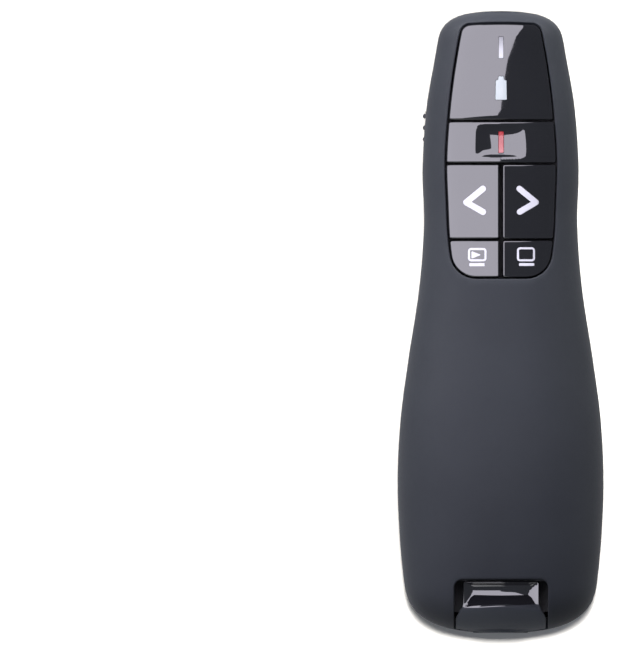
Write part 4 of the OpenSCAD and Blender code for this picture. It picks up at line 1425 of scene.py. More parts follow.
    def front(self) -> None:
        """Upper half, open over the keypad and at the tail."""
        draft = SkinDraft(side=Side.FRONT)
        outer, inner = self._half_rows(draft)
        flat = PAD.outline(PAD.y0, PAD.y1, (PAD.foot_corner, PAD.top_corner), self.pad_gap)
        start, long, narrower, shorter = self.pad_under
        near_nose = np.clip((flat[:, 1] - start) / long, 0, 1) ** 2
        under = np.column_stack([flat[:, 0] * (1 - narrower * near_nose), flat[:, 1] - shorter * near_nose])
        rim, wall = self.rim, CASE.wall
        keypad, keypad_in = draft.hole(CASE.over(grown(flat, rim.radius)), CASE.over(under, wall), rim)
        notch, notch_in = draft.hole(self._notch_charts(rim.radius, 0.0), self._notch_charts(0.0, wall), rim)
        draft.patch(lambda chart: CASE.lay(chart, Side.FRONT), outer, (keypad, notch), (), self.step)
        draft.inner_skin(inner, keypad_in, notch_in)
        self.shop.finish(draft, "front_half", "case", "soft_touch_front", "front_shell")

    # -- back --

    def _dimpled_skin(self, draft: Draft, ys: Sequence[float], outer: Row, *holes: Row) -> None:
        """Fills the outer skin of the lower half, with rows of grip dimples sunk in.

        Args:
            draft: Mesh that is added to.
            ys: Places of the rows of dimples.
            outer: The skin's outline.
            holes: Outlines of what stays open.
        """
        spots = [(x, y) for y in ys for x in self.dimple_xs]
        radii = [self.dimple_r * share for share in self.dimple_rings]
        seams = [CASE.over(arc(*spot, radius, 0, 330, 11)) for spot in spots for radius in radii]
        middles = CASE.over(np.array(spots))
        centres = CASE.lay(middles, Side.BACK)

        def surface(chart: Array) -> Array:
            """Places on the dimpled skin."""
            points = CASE.lay(chart, Side.BACK)
            gap = np.min(np.linalg.norm(points[:, None, :2] - centres[None, :, :2], axis=2), axis=1) / self.dimple_r
            deep = self.dimple_deep * np.clip(1 - gap**2, 0, 1)
            near = deep > 1e-4
            if near.any():
                points[near] -= CASE.outward(chart[near], Side.BACK) * deep[near, None]
            return points

        draft.patch(surface, outer, holes, seams, self.step, middles)

    def label_outline(self, grow: float) -> Array:
        """Outline of the sticker or of its recess, turning left."""
        top, foot, y0 = self.label_top, self.label_foot, self.label_y1 - self.label_l
        corners = [(top, self.label_y1), (-top, self.label_y1), (-foot, y0), (foot, y0)]
        return grown(dense(round_outline(corners, self.label_corner, 8), 0.9), grow)

    def _pocket(self, draft: SkinDraft) -> tuple[Row, Row]:
        """Pocket of the thumb slide in the left side, with its slot through the wall.

        Args:
            draft: Mesh that is added to.

        Returns:
            The pocket's row on the outer skin and the slot's on the inner one.
        """
        flat = dense(box_outline(*self.pocket, 0.5), 0.7)
        start = CASE.beside(grown(flat, self.pocket_edge.radius), Side.BACK)
        first, last = draft.rolled(start, self.pocket_edge)

        def floor(chart: Array) -> Array:
            """Places of the pocket's floor, from y and z."""
            return np.column_stack([level(self.pocket_x)(chart), chart])

        last = draft.follow(last, floor(flat))
        slot = dense(box_outline(*self.slot, 0.2, 3), 0.7)
        slot_ids = draft.add(floor(slot))
        draft.patch(floor, Row(last, flat), [Row(slot_ids, slot)], (), 1.2)
        slot_chart = CASE.beside(slot, Side.BACK, CASE.wall)
        inner = draft.follow(slot_ids, CASE.lay(slot_chart, Side.BACK, CASE.wall))
        return Row(first, start), Row(inner, slot_chart)

    def back(self) -> None:
        """Lower half with the sticker's recess, the slide's pocket and the grip dimples."""
        draft = SkinDraft()
        outer, inner = self._half_rows(draft, self.door_half + self.door_gap)
        label = draft.recess(self.label_outline(self.label_gap), self.label_deep, self.label_edge)
        pocket, slot = self._pocket(draft)
        self._dimpled_skin(draft, self.dimple_ys, outer, label, pocket)
        draft.inner_skin(inner, slot)
        self.shop.finish(draft, "back_half", "case", "soft_touch_back", "rear_shell")

    # -- door --

    def _door_plan(self, half: float, top: float, corner: float, inset: float, grow: float, count: int) -> Array:
        """Charts of the door's sides and top, from its left foot round to its right.

        Args:
            half: Half its width.
            top: Place y of its top edge.
            corner: Radius of its top corners.
            inset: Distance inside the outer surface.
            grow: Distance that the outline is moved outwards.
            count: Points along each side.

        Returns:
            Rows of v and h.
        """
        foot = float(CASE.lay(np.array([[self._tail_cross(half, inset), 0.0]]), Side.BACK, inset)[0, 1])
        rise = np.linspace(foot + self.door_foot, top - corner, count)
        left = np.column_stack([np.full(count, -(half + grow)), rise])
        reach = half - corner
        turn_left = arc(-reach, top - corner, corner + grow, 180, 90, 8)[1:]
        turn_right = arc(reach, top - corner, corner + grow, 90, 0, 8)[:-1]
        xs = np.linspace(-reach, reach, 26)[1:-1]
        across = np.column_stack([xs, level(top + grow)(xs)])
        return CASE.over(np.vstack([left, turn_left, across, turn_right, left[::-1] * [-1, 1]]), inset)

    def _door_rest(self, inset: float, grow: float) -> Array:
        """Charts of the door's opening on the lower half, from its left foot round to its right."""
        gap = self.door_gap
        return self._door_plan(self.door_half + gap, self.door_y + gap, self.door_corner + gap, inset, grow,
                               self.side_steps[1])

    def _door_charts(self, grow: float, inset: float) -> tuple[Array, int]:
        """Charts of the door's outline, from its right foot along the joint, and how many lie on the joint."""
        half = self.door_half + grow
        run = self._joint_run(self._tail_cross(half, inset), CASE.ends()[0], self.door_joint_steps)
        on_joint = np.vstack([run, (run[::-1] * [1, -1])[1:]])
        plan = self._door_plan(half, self.door_y + grow, self.door_corner, inset, 0.0, self.side_steps[0])
        return np.vstack([on_joint, plan]), len(on_joint)

    def door(self) -> None:
        """Battery door, which wraps the tail's underside, with its arrow and dimples."""
        draft = SkinDraft()
        rim = self.rim.radius
        chart, n_joint = self._door_charts(-rim, 0.0)
        inner, _ = self._door_charts(0.0, CASE.wall)
        points, normals = CASE.lay(chart, Side.BACK), CASE.outward(chart, Side.BACK)
        joint = np.arange(len(chart)) < n_joint
        points[joint, 2] = CASE.joint - rim
        out = leftwards(points, normals, Side.BACK.value)
        level_out = unit(normals[joint] * [1, 1, 0])

        def edge(away: float, deep: float) -> Array:
            """A row of the rounded edge, which rises to the joint where it runs along it."""
            ring = points + out * away - normals * deep
            ring[joint] = points[joint] - level_out * deep
            ring[joint, 2] = CASE.joint - rim + away
            return ring

        first, last = draft.roll(points, edge, self.rim)
        inner_points = CASE.lay(inner, Side.BACK, CASE.wall)
        inner_points[joint, 2] = CASE.joint
        last = draft.follow(last, inner_points)
        outline = dense(round_outline(self.arrow, self.arrow_corner, 3), 0.4)
        arrow = draft.recess(outline, self.arrow_deep, self.arrow_edge)
        self._dimpled_skin(draft, self.door_dimple_ys, Row(first, chart), arrow)
        draft.inner_skin(Row(last, inner))
        self.shop.finish(draft, "door_panel", "door", "soft_touch_back", "battery_door")

    # -- sticker --

    def sticker(self) -> None:
        """Plain yellow sticker with a dark keyline and two rules."""
        face = self.label_deep - self.label_t

        def low(deep: float) -> Surface:
            """Heights at a depth inside the lower skin."""
            return lambda plan: CASE.skin_z(plan, Side.BACK) + deep

        outline = self.label_outline(0.0)
        film = PlanSolid(low(face), low(self.label_deep - self.label_lift), Rounding(0.05, 2), 1.0)
        self.shop.finish(film.build(outline, side=-1), "yellow_sticker", "case", "label_yellow", "label_sticker")
        ink = PlanSolid(low(face - self.ink_t), low(face + self.ink_deep), Rounding(0.004, 1), 0.8)
        outside, within = self.keyline
        draft = ink.build(grown(outline, -outside), [grown(outline, -within)], side=-1)
        for y, half in self.rules:
            rule = box_outline(-half, half, y - self.rule_half, y + self.rule_half, self.rule_half - 0.01, 3)
            ink.build(dense(rule, 0.8), side=-1, draft=draft)
        self.shop.finish(draft, "sticker_keyline", "case", "label_yellow", material="label_ink")

    def build(self) -> None:
        """Makes the case's pieces."""
        self.front()
        self.back()
        self.door()
        self.sticker()


def signed_area(ring: Array) -> float:
    """Area of a closed outline, positive where it turns left."""
    x, y = ring[:, 0], ring[:, 1]
    return float(np.sum(x * np.roll(y, -1) - np.roll(x, -1) * y)) / 2


def tail_charts(side: Array, corner: float, top: float, floor: float, grow: float, inset: float) -> Array:
    """Charts of an outline on the upper tail: sides, a top edge and a level foot round the end.

    Args:
        side: Right side seen from above, from its top down past the end.
        corner: Radius of the two top corners.
        top: Place y of the top edge.
        floor: Height of the level foot.
        grow: Distance that the outline is moved outwards.
        inset: Distance inside the outer surface.

    Returns:
        Rows of v and h that turn left.
    """
    low = side[-1, 0] + grow
    z = floor - grow
    cross = CASE.around(np.array([[low, z]]), -1, Side.FRONT, inset)
    y_low = float(CASE.lay(cross, Side.FRONT, inset)[0, 1])
    path = side + [grow, 0.0]
    path[-1] = [low, y_low]
    lengths = np.concatenate([[0], np.cumsum(np.linalg.norm(np.diff(path, axis=0), axis=1))])
    at = np.linspace(0, 1, 22)
    at = lengths[-1] * (1 - (1 - at) ** 1.7)
    right = np.column_stack([np.interp(at, lengths, path[:, k]) for k in (0, 1)])
    turn = arc(side[0, 0] - corner, top - corner, corner + grow, 0, 90, 8)[1:]
    xs = np.linspace(side[0, 0] - corner, -(side[0, 0] - corner), 18)[1:-1]
    across = np.column_stack([xs, np.full(len(xs), top + grow)])
    upper = np.vstack([right[::-1][1:], turn, across, turn[::-1] * [-1, 1], right[:-1] * [-1, 1]])
    turns = np.linspace(-math.pi / 2, math.pi / 2, 44)
    foot = np.column_stack([low * np.sin(turns), np.full(len(turns), z)])
    return np.vstack([CASE.over(upper, inset), CASE.around(foot, -1, Side.FRONT, inset)])


# ---- Keypad ----


@dataclass(frozen=True)
class KeySpec:
    """One key: its name, its body and where it lies."""

    node: str
    body: str
    y0: float
    y1: float
    side: int = 0
    corners: Pair = (0.35, 0.35)
    dished: bool = False


@dataclass
class Keypad:
    """Window panel, keys, their printed marks and the light guides."""

    shop: Workshop
    sink: float = 0.08
    key_bottom: float = 19.0966
    window_bottom: float = 18.1966
    middle: float = 0.36
    laser_mid: float = 33.55
    dish: tuple[float, float, float] = (9.6, 6.1, 0.62)
    dish_powers: Pair = (3.1, 5.0)
    dish_soft: float = 0.07
    dish_tilt: Pair = (0.03, 0.055)
    mark_t: float = 0.02
    mark_deep: float = 0.06
    foot_y: float = 39.0
    foot_lean: float = 0.05
    foot_fall: float = 0.06
    window_foot: float = 37.55
    status_y: float = 50.95
    status_wide: float = 0.9
    bar_back: float = 0.2
    guide_gap: float = 0.03
    guide_sink: float = 0.01
    guide_bottom: float = 16.1
    red_bottom: float = 20.1
    edge: Rounding = Rounding(0.16, 3)
    hole_edge: Rounding = Rounding(0.04, 1)
    support: float = 0.09
    arrows: tuple[tuple[str, Pairs, float], ...] = (
        ("previous", ((-3.37, 24.72), (-6.45, 22.2), (-3.37, 20.42)), 1.14),
        ("next", ((3.45, 20.42), (6.45, 22.2), (3.38, 24.72)), 1.08),
    )
    screen_line: float = 0.38
    start_screen: Box = (-6.14, -2.72, 11.24, 13.72)
    start_triangle: Pairs = ((-3.66, 12.44), (-5.5, 13.14), (-5.5, 11.74))
    start_bar: Box = (-5.9, -3.08, 10.34, 10.9)
    blank_screen: Box = (2.93, 6.29, 11.24, 13.85)
    blank_bar: Box = (3.32, 6.14, 10.4, 10.92)

    def top(self, plan: Array) -> Array:
        """Heights of the keypad's face."""
        return CASE.skin_z(plan, Side.FRONT, self.sink)

    def dished(self, plan: Array) -> Array:
        """Heights of the laser key's face, with its bowl."""
        wide, long, deep = self.dish
        u = np.clip(np.abs(plan[:, 0]) / (wide / 2), 0, 1)
        v = np.clip(np.abs(plan[:, 1] - self.laser_mid) / (long / 2), 0, 1)
        share = (1 - u**self.dish_powers[0]) * (1 - v ** self.dish_powers[1])
        depth = np.sqrt((deep * share) ** 2 + self.dish_soft**2) - self.dish_soft
        tilt = self.dish_tilt[0] * plan[:, 0] + self.dish_tilt[1] * (plan[:, 1] - self.laser_mid)
        return self.top(plan) - depth + tilt * share

    def _key(self, spec: KeySpec) -> None:
        """Makes one key.

        Args:
            spec: Its place and form.
        """
        middle = None if spec.side == 0 else self.middle
        outline = PAD.outline(spec.y0, spec.y1, spec.corners, 0.0, middle)
        if spec.side < 0:
            outline = (outline * [-1, 1])[::-1]
        seams = []
        if spec.dished:
            wide, long, _ = self.dish
            for inner in (0.0, 0.2, 0.45):
                seams.append(dense(box_outline(
                    -wide / 2 + inner, wide / 2 - inner, self.laser_mid - long / 2 + inner,
                    self.laser_mid + long / 2 - inner, 1.2 - inner, 6)))
        solid = self._solid(self.dished if spec.dished else self.top, self.key_bottom, 0.3 if spec.dished else 0.6)
        draft = solid.build(outline, [self._red_bar(0.0)] if spec.dished else (), seams)
        self.shop.finish(draft, spec.node.replace("button", "key"), spec.body, "gloss_black", spec.node)

    def _solid(self, top: Surface, bottom: float, step: float) -> PlanSolid:
        """A glossy piece of the keypad with a level underside."""
        return PlanSolid(top, level(bottom), self.edge, step, self.hole_edge, self.support, 2.5)

    @staticmethod
    def _bar(y: float, shrink: float, width: float) -> Array:
        """Outline of a light bar."""
        half = width / 2 - shrink
        return dense(box_outline(-half, half, y - 2 + shrink, y + 2 - shrink, 0.12, 3))

    def _red_bar(self, shrink: float) -> Array:
        """Outline of the bar in the laser key."""
        return self._bar(self.laser_mid - self.bar_back, shrink, 1.0)

    @staticmethod
    def _battery(s: float) -> Array:
        """Outline of the battery-shaped light, drawn in by s."""
        right = [(1.08 - s, 41.2 + s), (1.02 - s, 44.8 - s), (0.56 - s, 45.0 - s), (0.5 - s, 45.6 - s)]
        return dense(round_outline(right + [(-x, y) for x, y in reversed(right)], 0.14, 4))

    def _window_top(self, plan: Array) -> Array:
        """Heights of the window's face, which falls away a little along its foot."""
        near = np.maximum(self.foot_y + self.foot_lean * plan[:, 0] - plan[:, 1], 0)
        return self.top(plan) - self.foot_fall * near**2

    def window(self) -> None:
        """Fixed panel with its two light openings."""
        outline = PAD.outline(self.window_foot, PAD.y1, (0.35, PAD.top_corner))
        holes = [self._bar(self.status_y, 0.0, self.status_wide), self._battery(0.0)]
        draft = self._solid(self._window_top, self.window_bottom, 0.6).build(outline, holes)
        self.shop.finish(draft, "window", "case", "gloss_black", "window_panel")

    def lights(self) -> None:
        """Light guides, flush with the panel and the laser key."""
        gap = self.guide_gap

        def guide(face: Surface, bottom: float, outline: Array) -> Draft:
            """A guide a hair under the face around it."""
            top = lambda plan: face(plan) - self.guide_sink
            return PlanSolid(top, level(bottom), Rounding(0.03, 1), 0.5).build(outline)

        white = guide(self.top, self.guide_bottom, self._bar(self.status_y, gap, self.status_wide))
        self.shop.finish(white, "status_light", "case", "light_white", "status_light_pipe")
        blue = guide(self.top, self.guide_bottom, self._battery(gap))
        self.shop.finish(blue, "battery_light", "case", "light_blue", "battery_light_pipe")
        red = guide(self.dished, self.red_bottom, self._red_bar(gap))
        self.shop.finish(red, "laser_bar", "laser_key", "light_red", "laser_button_light")

    def _mark(self, name: str, body: str, shapes: Sequence[tuple[Array, Sequence[Array]]]) -> None:
        """Makes the printed marks of one key.

        Args:
            name: The piece's name.
            body: Body that it moves with.
            shapes: Outlines, each with its holes.
        """
        solid = PlanSolid(lambda plan: self.top(plan) + self.mark_t, lambda plan: self.top(plan) - self.mark_deep,
                          Rounding(0.015, 1), 0.6)
        draft = Draft()
        for outline, holes in shapes:
            solid.build(outline, holes, draft=draft)
        self.shop.finish(draft, name, body, "gloss_black", material="print_white")

    def marks(self) -> None:
        """Arrows and screen signs, printed on the keys."""
        for key, path, width in self.arrows:
            self._mark(f"{key}_arrow", f"{key}_key", [(dense(stroke(path, width)), ())])

        def screen(x0: float, x1: float, y0: float, y1: float) -> tuple[Array, list[Array]]:
            """A rounded frame."""
            line = self.screen_line
            inner = box_outline(x0 + line, x1 - line, y0 + line, y1 - line, 0.2, 4)
            return dense(box_outline(x0, x1, y0, y1, 0.6)), [dense(inner)]

        triangle = dense(round_outline(self.start_triangle, 0.1, 3))
        start_bar, blank_bar = (dense(box_outline(*box, 0.12, 3)) for box in (self.start_bar, self.blank_bar))
        self._mark("start_sign", "play_key", [screen(*self.start_screen), (triangle, ()), (start_bar, ())])
        self._mark("blank_sign", "blank_screen_key", [screen(*self.blank_screen), (blank_bar, ())])

    def build(self) -> None:
        """Makes the keypad's pieces."""
        self.window()
        for spec in (
            KeySpec("laser_button", "laser_key", 29.6, 37.1, dished=True),
            KeySpec("previous_button", "previous_key", 15.5, 29.15, -1),
            KeySpec("next_button", "next_key", 15.5, 29.15, 1),
            KeySpec("play_button", "play_key", PAD.y0, 15.05, -1, (4.6, 0.35)),
            KeySpec("blank_screen_button", "blank_screen_key", PAD.y0, 15.05, 1, (4.6, 0.35)),
        ):
            self._key(spec)
        self.lights()
        self.marks()


# ---- Receiver ----


@dataclass
class ReceiverGrip:
    """Glossy scooped end of the receiver with its satin lip."""

    shop: Workshop
    sink: float = 0.08
    half: float = 8.4
    waist: float = 7.15
    top: float = -48.05
    lip_y: float = -53.55
    bottom: float = 15.8966
    scoop_half: float = 5.35
    scoop_r: float = 2.53
    scoop_slope: float = 0.7
    top_wall: Pair = (-48.75, 1.6)
    valley_y: float = -49.7
    valley_z: float = 22.77
    crown_r: float = 20.0
    wall_slopes: Pair = (0.45, 0.085)
    wall_fall: float = 0.07
    wall_soft: float = 0.15
    lip_soft: float = 0.3
    satin_y: float = -53.0
    satin_lean: float = 0.06
    satin_from: float = -4.5
    satin_half: float = 6.6
    satin_rows: tuple[float, ...] = (-0.32, 0.0, 0.32)
    satin_step: float = 0.16
    rim: Rounding = Rounding(0.25, 3)

    def charts(self, grow: float) -> Array:
        """Charts of the grip's outline."""
        side = np.array([
            [self.waist, self.top - 0.5], [self.waist, self.lip_y + 0.8], [self.half, self.lip_y - 1.6],
            [self.half, PAST_TAIL],
        ])
        return tail_charts(side, 0.5, self.top, self.bottom, grow, self.sink)

    def satin_line(self, x: Array) -> Array:
        """Where along the body the gloss gives way to the satin lip."""
        return self.satin_y + self.satin_lean * np.maximum(x - self.satin_from, 0)

    def surface(self, chart: Array) -> Array:
        """Places of the grip's face, with its scoop."""
        points = CASE.lay(chart, Side.FRONT, self.sink)
        x, y = points[:, 0], points[:, 1]
        off = np.abs(y - self.valley_y)
        turn = self.scoop_r * math.sin(math.atan(self.scoop_slope))
        near = np.minimum(off, turn)
        bowl = self.valley_z + self.scoop_r - np.sqrt(self.scoop_r**2 - near**2) + self.scoop_slope * (off - near)
        bowl = bowl + self.top_wall[1] * np.maximum(y - self.top_wall[0], 0) - x**2 / (2 * self.crown_r)
        foot = self.valley_z - self.scoop_half**2 / (2 * self.crown_r)
        beyond = np.abs(x) - self.scoop_half
        wall = foot + self.wall_slopes[0] * beyond + self.wall_slopes[1] * np.maximum(beyond, 0) ** 2
        wall = wall + self.wall_fall * (self.valley_y - y)
        hollow = -blended(-bowl, -wall, self.wall_soft)
        points[:, 2] = blended(hollow, points[:, 2], self.lip_soft)
        return points

    def build(self) -> None:
        """Makes the grip."""
        draft = Draft()
        chart = self.charts(-self.rim.radius)
        points, normals = self.surface(chart), CASE.outward(chart, Side.FRONT)
        out = leftwards(points, normals, -Side.FRONT.value)

        def edge(away: float, deep: float) -> Array:
            """A row of the rounded edge."""
            return points + out * away - normals * deep

        first, last = draft.roll(points, edge, self.rim)
        foot = edge(*self.rim.stops()[-1])
        foot[:, 2] = self.bottom
        last = draft.follow(last, foot)
        xs = np.linspace(-self.satin_half, self.satin_half, 56)
        seams = []
        for low in self.satin_rows:
            forth = np.column_stack([xs, self.satin_line(xs) + low])
            seams.append(CASE.over(np.vstack([forth, (forth + [0, self.satin_step])[::-1]]), self.sink))
        draft.patch(self.surface, Row(first, chart), (), seams, 0.34)
        draft.patch(lambda plan: np.column_stack([plan, level(self.bottom)(plan)]), Row(last, foot[:, :2]), (), (), 2.5)

        def pick(middle: Vector) -> int:
            """Satin on the lip and gloss elsewhere."""
            return int(middle.y < float(self.satin_line(np.array(middle.x))) and middle.z > self.bottom + 0.01)

        materials = [self.shop.materials[name] for name in ("gloss_black", "soft_touch_front")]
        self.shop.done(draft.make("receiver_pull", materials, pick), "receiver", "gloss_black", "receiver_grip")


# ---- Small mechanical pieces ----


@dataclass(frozen=True)
class Block:
    """A box with rounded edges: its reach along each axis, and the radius and steps of its edges."""

    x: Pair
    y: Pair
    z: Pair
    radius: float
    steps: int = 1


@dataclass
class ThumbSlide:
    """The power slide: a smooth cap, its neck and fork, and a row of ridges."""

    shop: Workshop
    middle: Pair = (36.15, 9.3966)
    cap: Block = Block((-13.95, -13.3), (-3.1, 3.1), (-2.15, 2.15), 0.22, 3)
    neck: Block = Block((-13.35, -11.75), (-1.2, 1.2), (-0.8, 0.8), 0.08)
    yoke: Block = Block((-11.85, -11.45), (-1.6, 1.6), (-0.2, 1.5), 0.06)
    prongs: tuple[Block, Block] = (
        Block((-11.6, -10.3), (-1.6, -1.0), (0.0, 1.3), 0.06), Block((-11.6, -10.3), (1.0, 1.6), (0.0, 1.3), 0.06))
    pitch: float = 2.15
    ridge_x: float = -14.06
    ridge_r: float = 0.42
    ridge_l: float = 3.6

    def build(self) -> None:
        """Makes the slide; its blocks are measured from its middle in y and z."""
        draft = Draft()
        y, z = self.middle
        for block in (self.cap, self.neck, self.yoke, *self.prongs):
            low, high = ((x, y + dy, z + dz) for x, dy, dz in zip(block.x, block.y, block.z))
            draft.box(low, high, block.radius, block.steps)
        self.shop.finish(draft, "slide_cap", "power_slide", "knob_black", "power_switch_knob")
        self._ridges()

    def _ridges(self) -> None:
        """Grows the row of round ridges along the cap."""
        y, z = self.middle
        grower = Grower("slide_ridges", {
            "Count": ("NodeSocketInt", 3), "Pitch": ("NodeSocketFloat", self.pitch * MM),
            "Radius": ("NodeSocketFloat", self.ridge_r * MM), "Height": ("NodeSocketFloat", self.ridge_l * MM),
            "Start": ("NodeSocketVector", (self.ridge_x * MM, (y - self.pitch) * MM, z * MM)),
        })
        step = grower.out("ShaderNodeCombineXYZ", {"Y": grower.given("Pitch")})
        line = grower.out("GeometryNodeMeshLine", {
            "Count": grower.given("Count"), "Start Location": grower.given("Start"), "Offset": step})
        ends = [grower.out("ShaderNodeMath", {0: grower.given("Height"), 1: share}, operation="MULTIPLY")
                for share in (-0.5, 0.5)]
        start, end = (grower.out("ShaderNodeCombineXYZ", {"Z": height}) for height in ends)
        bar = grower.tube(grower.out("GeometryNodeCurvePrimitiveLine", {"Start": start, "End": end}), "Radius", 20)
        copies = grower.out("GeometryNodeInstanceOnPoints", {"Points": line, "Instance": bar})
        piece = grower.grow(copies, self.shop.materials["knob_black"], "slide_ridges")
        self.shop.done(piece, "power_slide", "knob_black")


@dataclass
class BatteryBay:
    """Cells and springs under the door."""

    shop: Workshop
    cell_x: float = 5.45
    cell_z: float = 9.25
    length: float = 44.5
    # Radius and distance past the minus end or the plus end.
    minus: Pairs = ((0.0, 0.0), (3.6, 0.0), (3.9, 0.1), (4.3, 0.3), (4.8, 0.25), (5.1, 0.3), (5.25, 0.5))
    plus: Pairs = (
        (5.25, -1.9), (5.13, -1.5), (4.8, -1.3), (4.35, -1.35), (4.0, -1.1), (2.3, -1.0), (1.95, -0.9), (1.9, -0.15),
        (1.75, 0.0), (0.0, 0.0),
    )
    bay_y1: float = -4.5
    bay_y0: float = -53.1
    plate_t: float = 0.35
    spring_l: float = 3.4
    spring_d: float = 5.4
    wire_d: float = 0.6
    turns: float = 4.0

    def cell(self, name: str, node: str, x: float, way: int) -> None:
        """Makes one cell.

        Args:
            name: The piece's name.
            node: Solid that it stands for.
            x: Its place across.
            way: 1 where its plus end looks to the nose, and -1 to the tail.
        """
        half = self.length / 2
        foot = self.bay_y1 - self.plate_t - self.length if way > 0 else self.bay_y0 + self.plate_t
        profile = [(p, end + q) for end, row in ((-half, self.minus), (half, self.plus)) for p, q in row]
        draft = Draft()
        draft.turned((x, foot + half, self.cell_z), [(p, way * q) for p, q in profile], 56)
        self.shop.finish(draft, name, "case", "cell_jacket", node, material=name)

    def springs(self) -> None:
        """Grows the two coil springs."""
        low, high = self.bay_y0 + self.plate_t, self.bay_y1 - self.plate_t - self.spring_l
        for name, x, y, nodes in (("spring_left", -self.cell_x, low, ("contact_springs",)),
                                  ("spring_right", self.cell_x, high, ())):
            grower = Grower(name, {
                "Turns": ("NodeSocketFloat", self.turns),
                "Coil Radius": ("NodeSocketFloat", (self.spring_d - self.wire_d) / 2 * MM),
                "Length": ("NodeSocketFloat", (self.spring_l - self.wire_d) * MM),
                "Wire Radius": ("NodeSocketFloat", self.wire_d / 2 * MM),
                "Place": ("NodeSocketVector", (x * MM, (y + self.wire_d / 2) * MM, self.cell_z * MM)),
            })
            radius = grower.given("Coil Radius")
            coil = grower.out("GeometryNodeCurveSpiral", {
                "Resolution": 28, "Rotations": grower.given("Turns"), "Start Radius": radius, "End Radius": radius,
                "Height": grower.given("Length")})
            wire = grower.out("GeometryNodeTransform", {
                "Geometry": grower.tube(coil, "Wire Radius", 10), "Translation": grower.given("Place"),
                "Rotation": (-math.pi / 2, 0.0, 0.0)})
            piece = grower.grow(wire, self.shop.materials["contact_metal"], name)
            self.shop.done(piece, "case", "contact_metal", *nodes)

    def build(self) -> None:
        """Makes the cells and springs."""
        self.cell("cell_left", "battery_cell_left", -self.cell_x, 1)
        self.cell("cell_right", "battery_cell_right", self.cell_x, -1)
        self.springs()


@dataclass
class Aperture:
    """Plated ring and window at the nose."""

    shop: Workshop
    y: float = 57.75
    z: float = 10.2
    profile: Pairs = (
        (3.25, -2.3), (3.25, -0.35), (3.2, -0.24), (3.1, -0.2), (2.65, -0.2), (2.43, -0.3), (2.35, -0.5), (2.35, -2.3),
    )

    def build(self) -> None:
        """Makes the ring, with its rolled edge and stepped bore."""
        draft = Draft()
        draft.turned((0.0, self.y, self.z), self.profile, 72)
        self.shop.finish(draft, "aperture_trim", "case", "ring_metal", "aperture_ring")


def dress_solids(shop: Workshop) -> None:
    """Gives every solid that still shows the material of its slot."""
    slots = {part["node"]: part["material_slot"] for part in frame["record"]["subparts"]}
    for name, solid in frame["nodes"].items():
        if solid.hide_render:
            continue
        slot = slots[name]
        material = shop.materials.get(slot) or shop.materials["cell_left"]
        solid.data.materials.clear()
        solid.data.materials.append(material)
        LOG.info("%s keeps its solid, dressed as %s", name, slot)


# ---- Set ----


def takers(name: str, *objects: str) -> Collection:
    """Collection of the objects that take a light."""
    made = bpy.data.collections.new(name)
    for key in objects:
        made.objects.link(bpy.data.objects[key])
    return made


@dataclass(frozen=True)
class SoftBox:
    """A rectangular light of the set, in metres and watts, that looks at a point over the origin."""

    name: str
    place: Tone
    size: Pair
    watts: float
    aim_z: float = 0.0

    def build(self, group: Collection) -> Object:
        """Adds the light, unseen by the camera.

        Args:
            group: What it falls on.

        Returns:
            The light.
        """
        data = bpy.data.lights.new(self.name, "AREA")
        data.shape = "RECTANGLE"
        data.size, data.size_y = self.size
        data.energy = self.watts
        made = placed(self.name, data)
        made.location = self.place
        aim = Vector((0.0, 0.0, self.aim_z))
        made.rotation_euler = (Vector(self.place) - aim).to_track_quat("Z", "Y").to_euler()
        made.visible_camera = False
        made.light_linking.receiver_collection = group
        return made


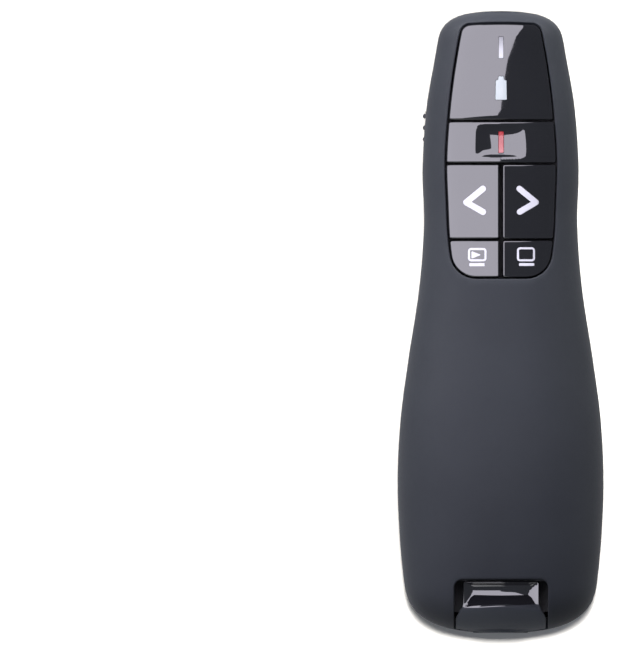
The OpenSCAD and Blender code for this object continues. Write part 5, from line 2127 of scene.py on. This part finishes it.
@dataclass
class Studio:
    """Camera, floor and lights."""

    lens: float = 1200.0
    sensor: float = 36.0
    picture: tuple[int, int] = (641, 652)
    scale: float = 5376.0
    centre: Pair = (500.6, 322.0)
    level: float = 12.0
    floor_half: float = 4.0
    floor_z: float = -0.00005
    surround: float = 0.25
    panel_z: float = 0.9
    panel_glow: float = 5.6
    floor_box: SoftBox = SoftBox("floor_box", (0.0, 0.032, 0.62), (0.09, 0.09), 11.0)
    tail_box: SoftBox = SoftBox("tail_box", (-0.5, -1.0, 0.6), (1.2, 0.6), 5.4)
    tail_sheet: SoftBox = SoftBox("tail_sheet", (0.0, -0.85, 0.75), (1.6, 0.5), 15.0)
    case_boxes: tuple[SoftBox, ...] = (
        SoftBox("rim_box_0", (-0.2, 0.28, 0.12), (0.2, 0.1), 2.6, 0.01),
        SoftBox("rim_box_1", (0.19, 0.25, 0.11), (0.2, 0.1), 2.0, 0.01),
        SoftBox("rim_box_2", (-0.45, 0.3, 0.12), (0.2, 0.1), 0.9, 0.01),
        SoftBox("right_box", (1.25, 1.05, 0.45), (1.2, 0.6), 5.0),
    )
    besides: Collection | None = None
    panel_outline: Pairs = (
        (-2.6, 0.02), (-0.005, 0.02), (0.002, 0.13), (0.008, 0.173), (0.04, 0.202), (0.07, 0.228), (0.108, 0.243),
        (0.155, 0.256), (0.213, 0.271), (0.286, 0.335), (0.397, 0.583), (0.587, 1.045), (0.75, 1.7), (-0.6, 1.7),
        (-0.8, 3.2), (-2.6, 3.2),
    )

    def camera(self) -> None:
        """Looks straight down, with the clicker right of the middle."""
        data = bpy.data.cameras.new("camera")
        data.type = "PERSP"
        data.lens, data.sensor_width, data.clip_end = self.lens, self.sensor, 20.0
        away = max(self.picture) * self.lens / (self.sensor * self.scale)
        x = -(self.centre[0] - self.picture[0] / 2) / self.scale
        y = (self.centre[1] - self.picture[1] / 2) / self.scale
        bpy.context.scene.camera = placed("camera", data)
        bpy.context.scene.camera.location = (x, y, away + self.level * MM)

    def _sheet(self, name: str, corners: Sequence[Pair], z: float,
               material: Material) -> Object:
        """A flat sheet of the set, in metres.

        Args:
            name: Its name.
            corners: Its outline seen from above.
            z: Its height.
            material: Its material.

        Returns:
            The sheet.
        """
        mesh = bpy.data.meshes.new(name)
        mesh.from_pydata([(x, y, z) for x, y in corners], [], [tuple(range(len(corners)))])
        mesh.materials.append(material)
        made = placed(name, mesh)
        return made

    def floor(self) -> None:
        """Pale floor under the clicker."""
        r = self.floor_half
        made = self._sheet("floor", ((-r, -r), (r, -r), (r, r), (-r, r)), self.floor_z, FLOOR_FINISH.build())
        made.visible_glossy = False
        self.floor_box.build(takers("floor_light_takes", "floor"))
        self.besides = takers("all_but_the_floor", "floor")
        self.besides.collection_objects[0].light_linking.link_state = "EXCLUDE"

    def lights(self) -> None:
        """One large soft panel to the left and towards the nose, a weak fill and a dim surround."""
        world = bpy.data.worlds.new("surround")
        world.use_nodes = True
        back = world.node_tree.nodes["Background"]
        back.inputs[0].default_value = (0.90, 0.97, 1.12, 1.0)
        back.inputs[1].default_value = self.surround
        bpy.context.scene.world = world
        wiring = Wiring("panel_light")
        glow = wiring.node("ShaderNodeEmission", {}, {"Color": (0.98, 0.95, 1.08, 1.0), "Strength": self.panel_glow})
        dark = wiring.node("ShaderNodeBsdfTransparent", {}, {})
        facing = wiring.node("ShaderNodeNewGeometry", {}, {}).outputs["Backfacing"]
        mixed = wiring.node("ShaderNodeMixShader", {}, {0: facing, 1: glow.outputs[0], 2: dark.outputs[0]})
        wiring.node("ShaderNodeOutputMaterial", {}, {0: mixed.outputs[0]})
        h = self.panel_z
        outline = tuple((x * h, y * h) for x, y in reversed(self.panel_outline))
        panel = self._sheet("panel_light", outline, h, wiring.material)
        panel.visible_camera = False
        panel.visible_shadow = False
        panel.light_linking.receiver_collection = self.besides
        self.tail_box.build(self.besides)

    def accents(self) -> None:
        """Small boxes that only the case or only the receiver takes light from."""
        case = takers("case_takes", "front_half", "back_half", "door_panel")
        for box in self.case_boxes:
            box.build(case)
        sheet = self.tail_sheet.build(takers("receiver_takes", "receiver_pull"))
        sheet.visible_glossy = False
        # Keeps the label's colour off the bright floor beside it.
        bpy.data.objects["yellow_sticker"].visible_diffuse = False

    def build(self) -> None:
        """Sets the stage."""
        self.camera()
        self.floor()
        self.lights()
        bpy.context.scene.view_settings.view_transform = "Standard"


def main() -> None:
    """Builds the set and every piece in order."""
    logging.basicConfig(level=logging.INFO, format="%(name)s: %(message)s")
    studio = Studio()
    studio.build()
    shop = Workshop({finish.name: finish.build() for finish in PALETTE})
    for maker in (CaseShells(shop), Keypad(shop), ReceiverGrip(shop), ThumbSlide(shop), BatteryBay(shop),
                  Aperture(shop)):
        LOG.info("building %s", type(maker).__name__)
        maker.build()
    dress_solids(shop)
    studio.accents()


if __name__ == "__main__":
    main()
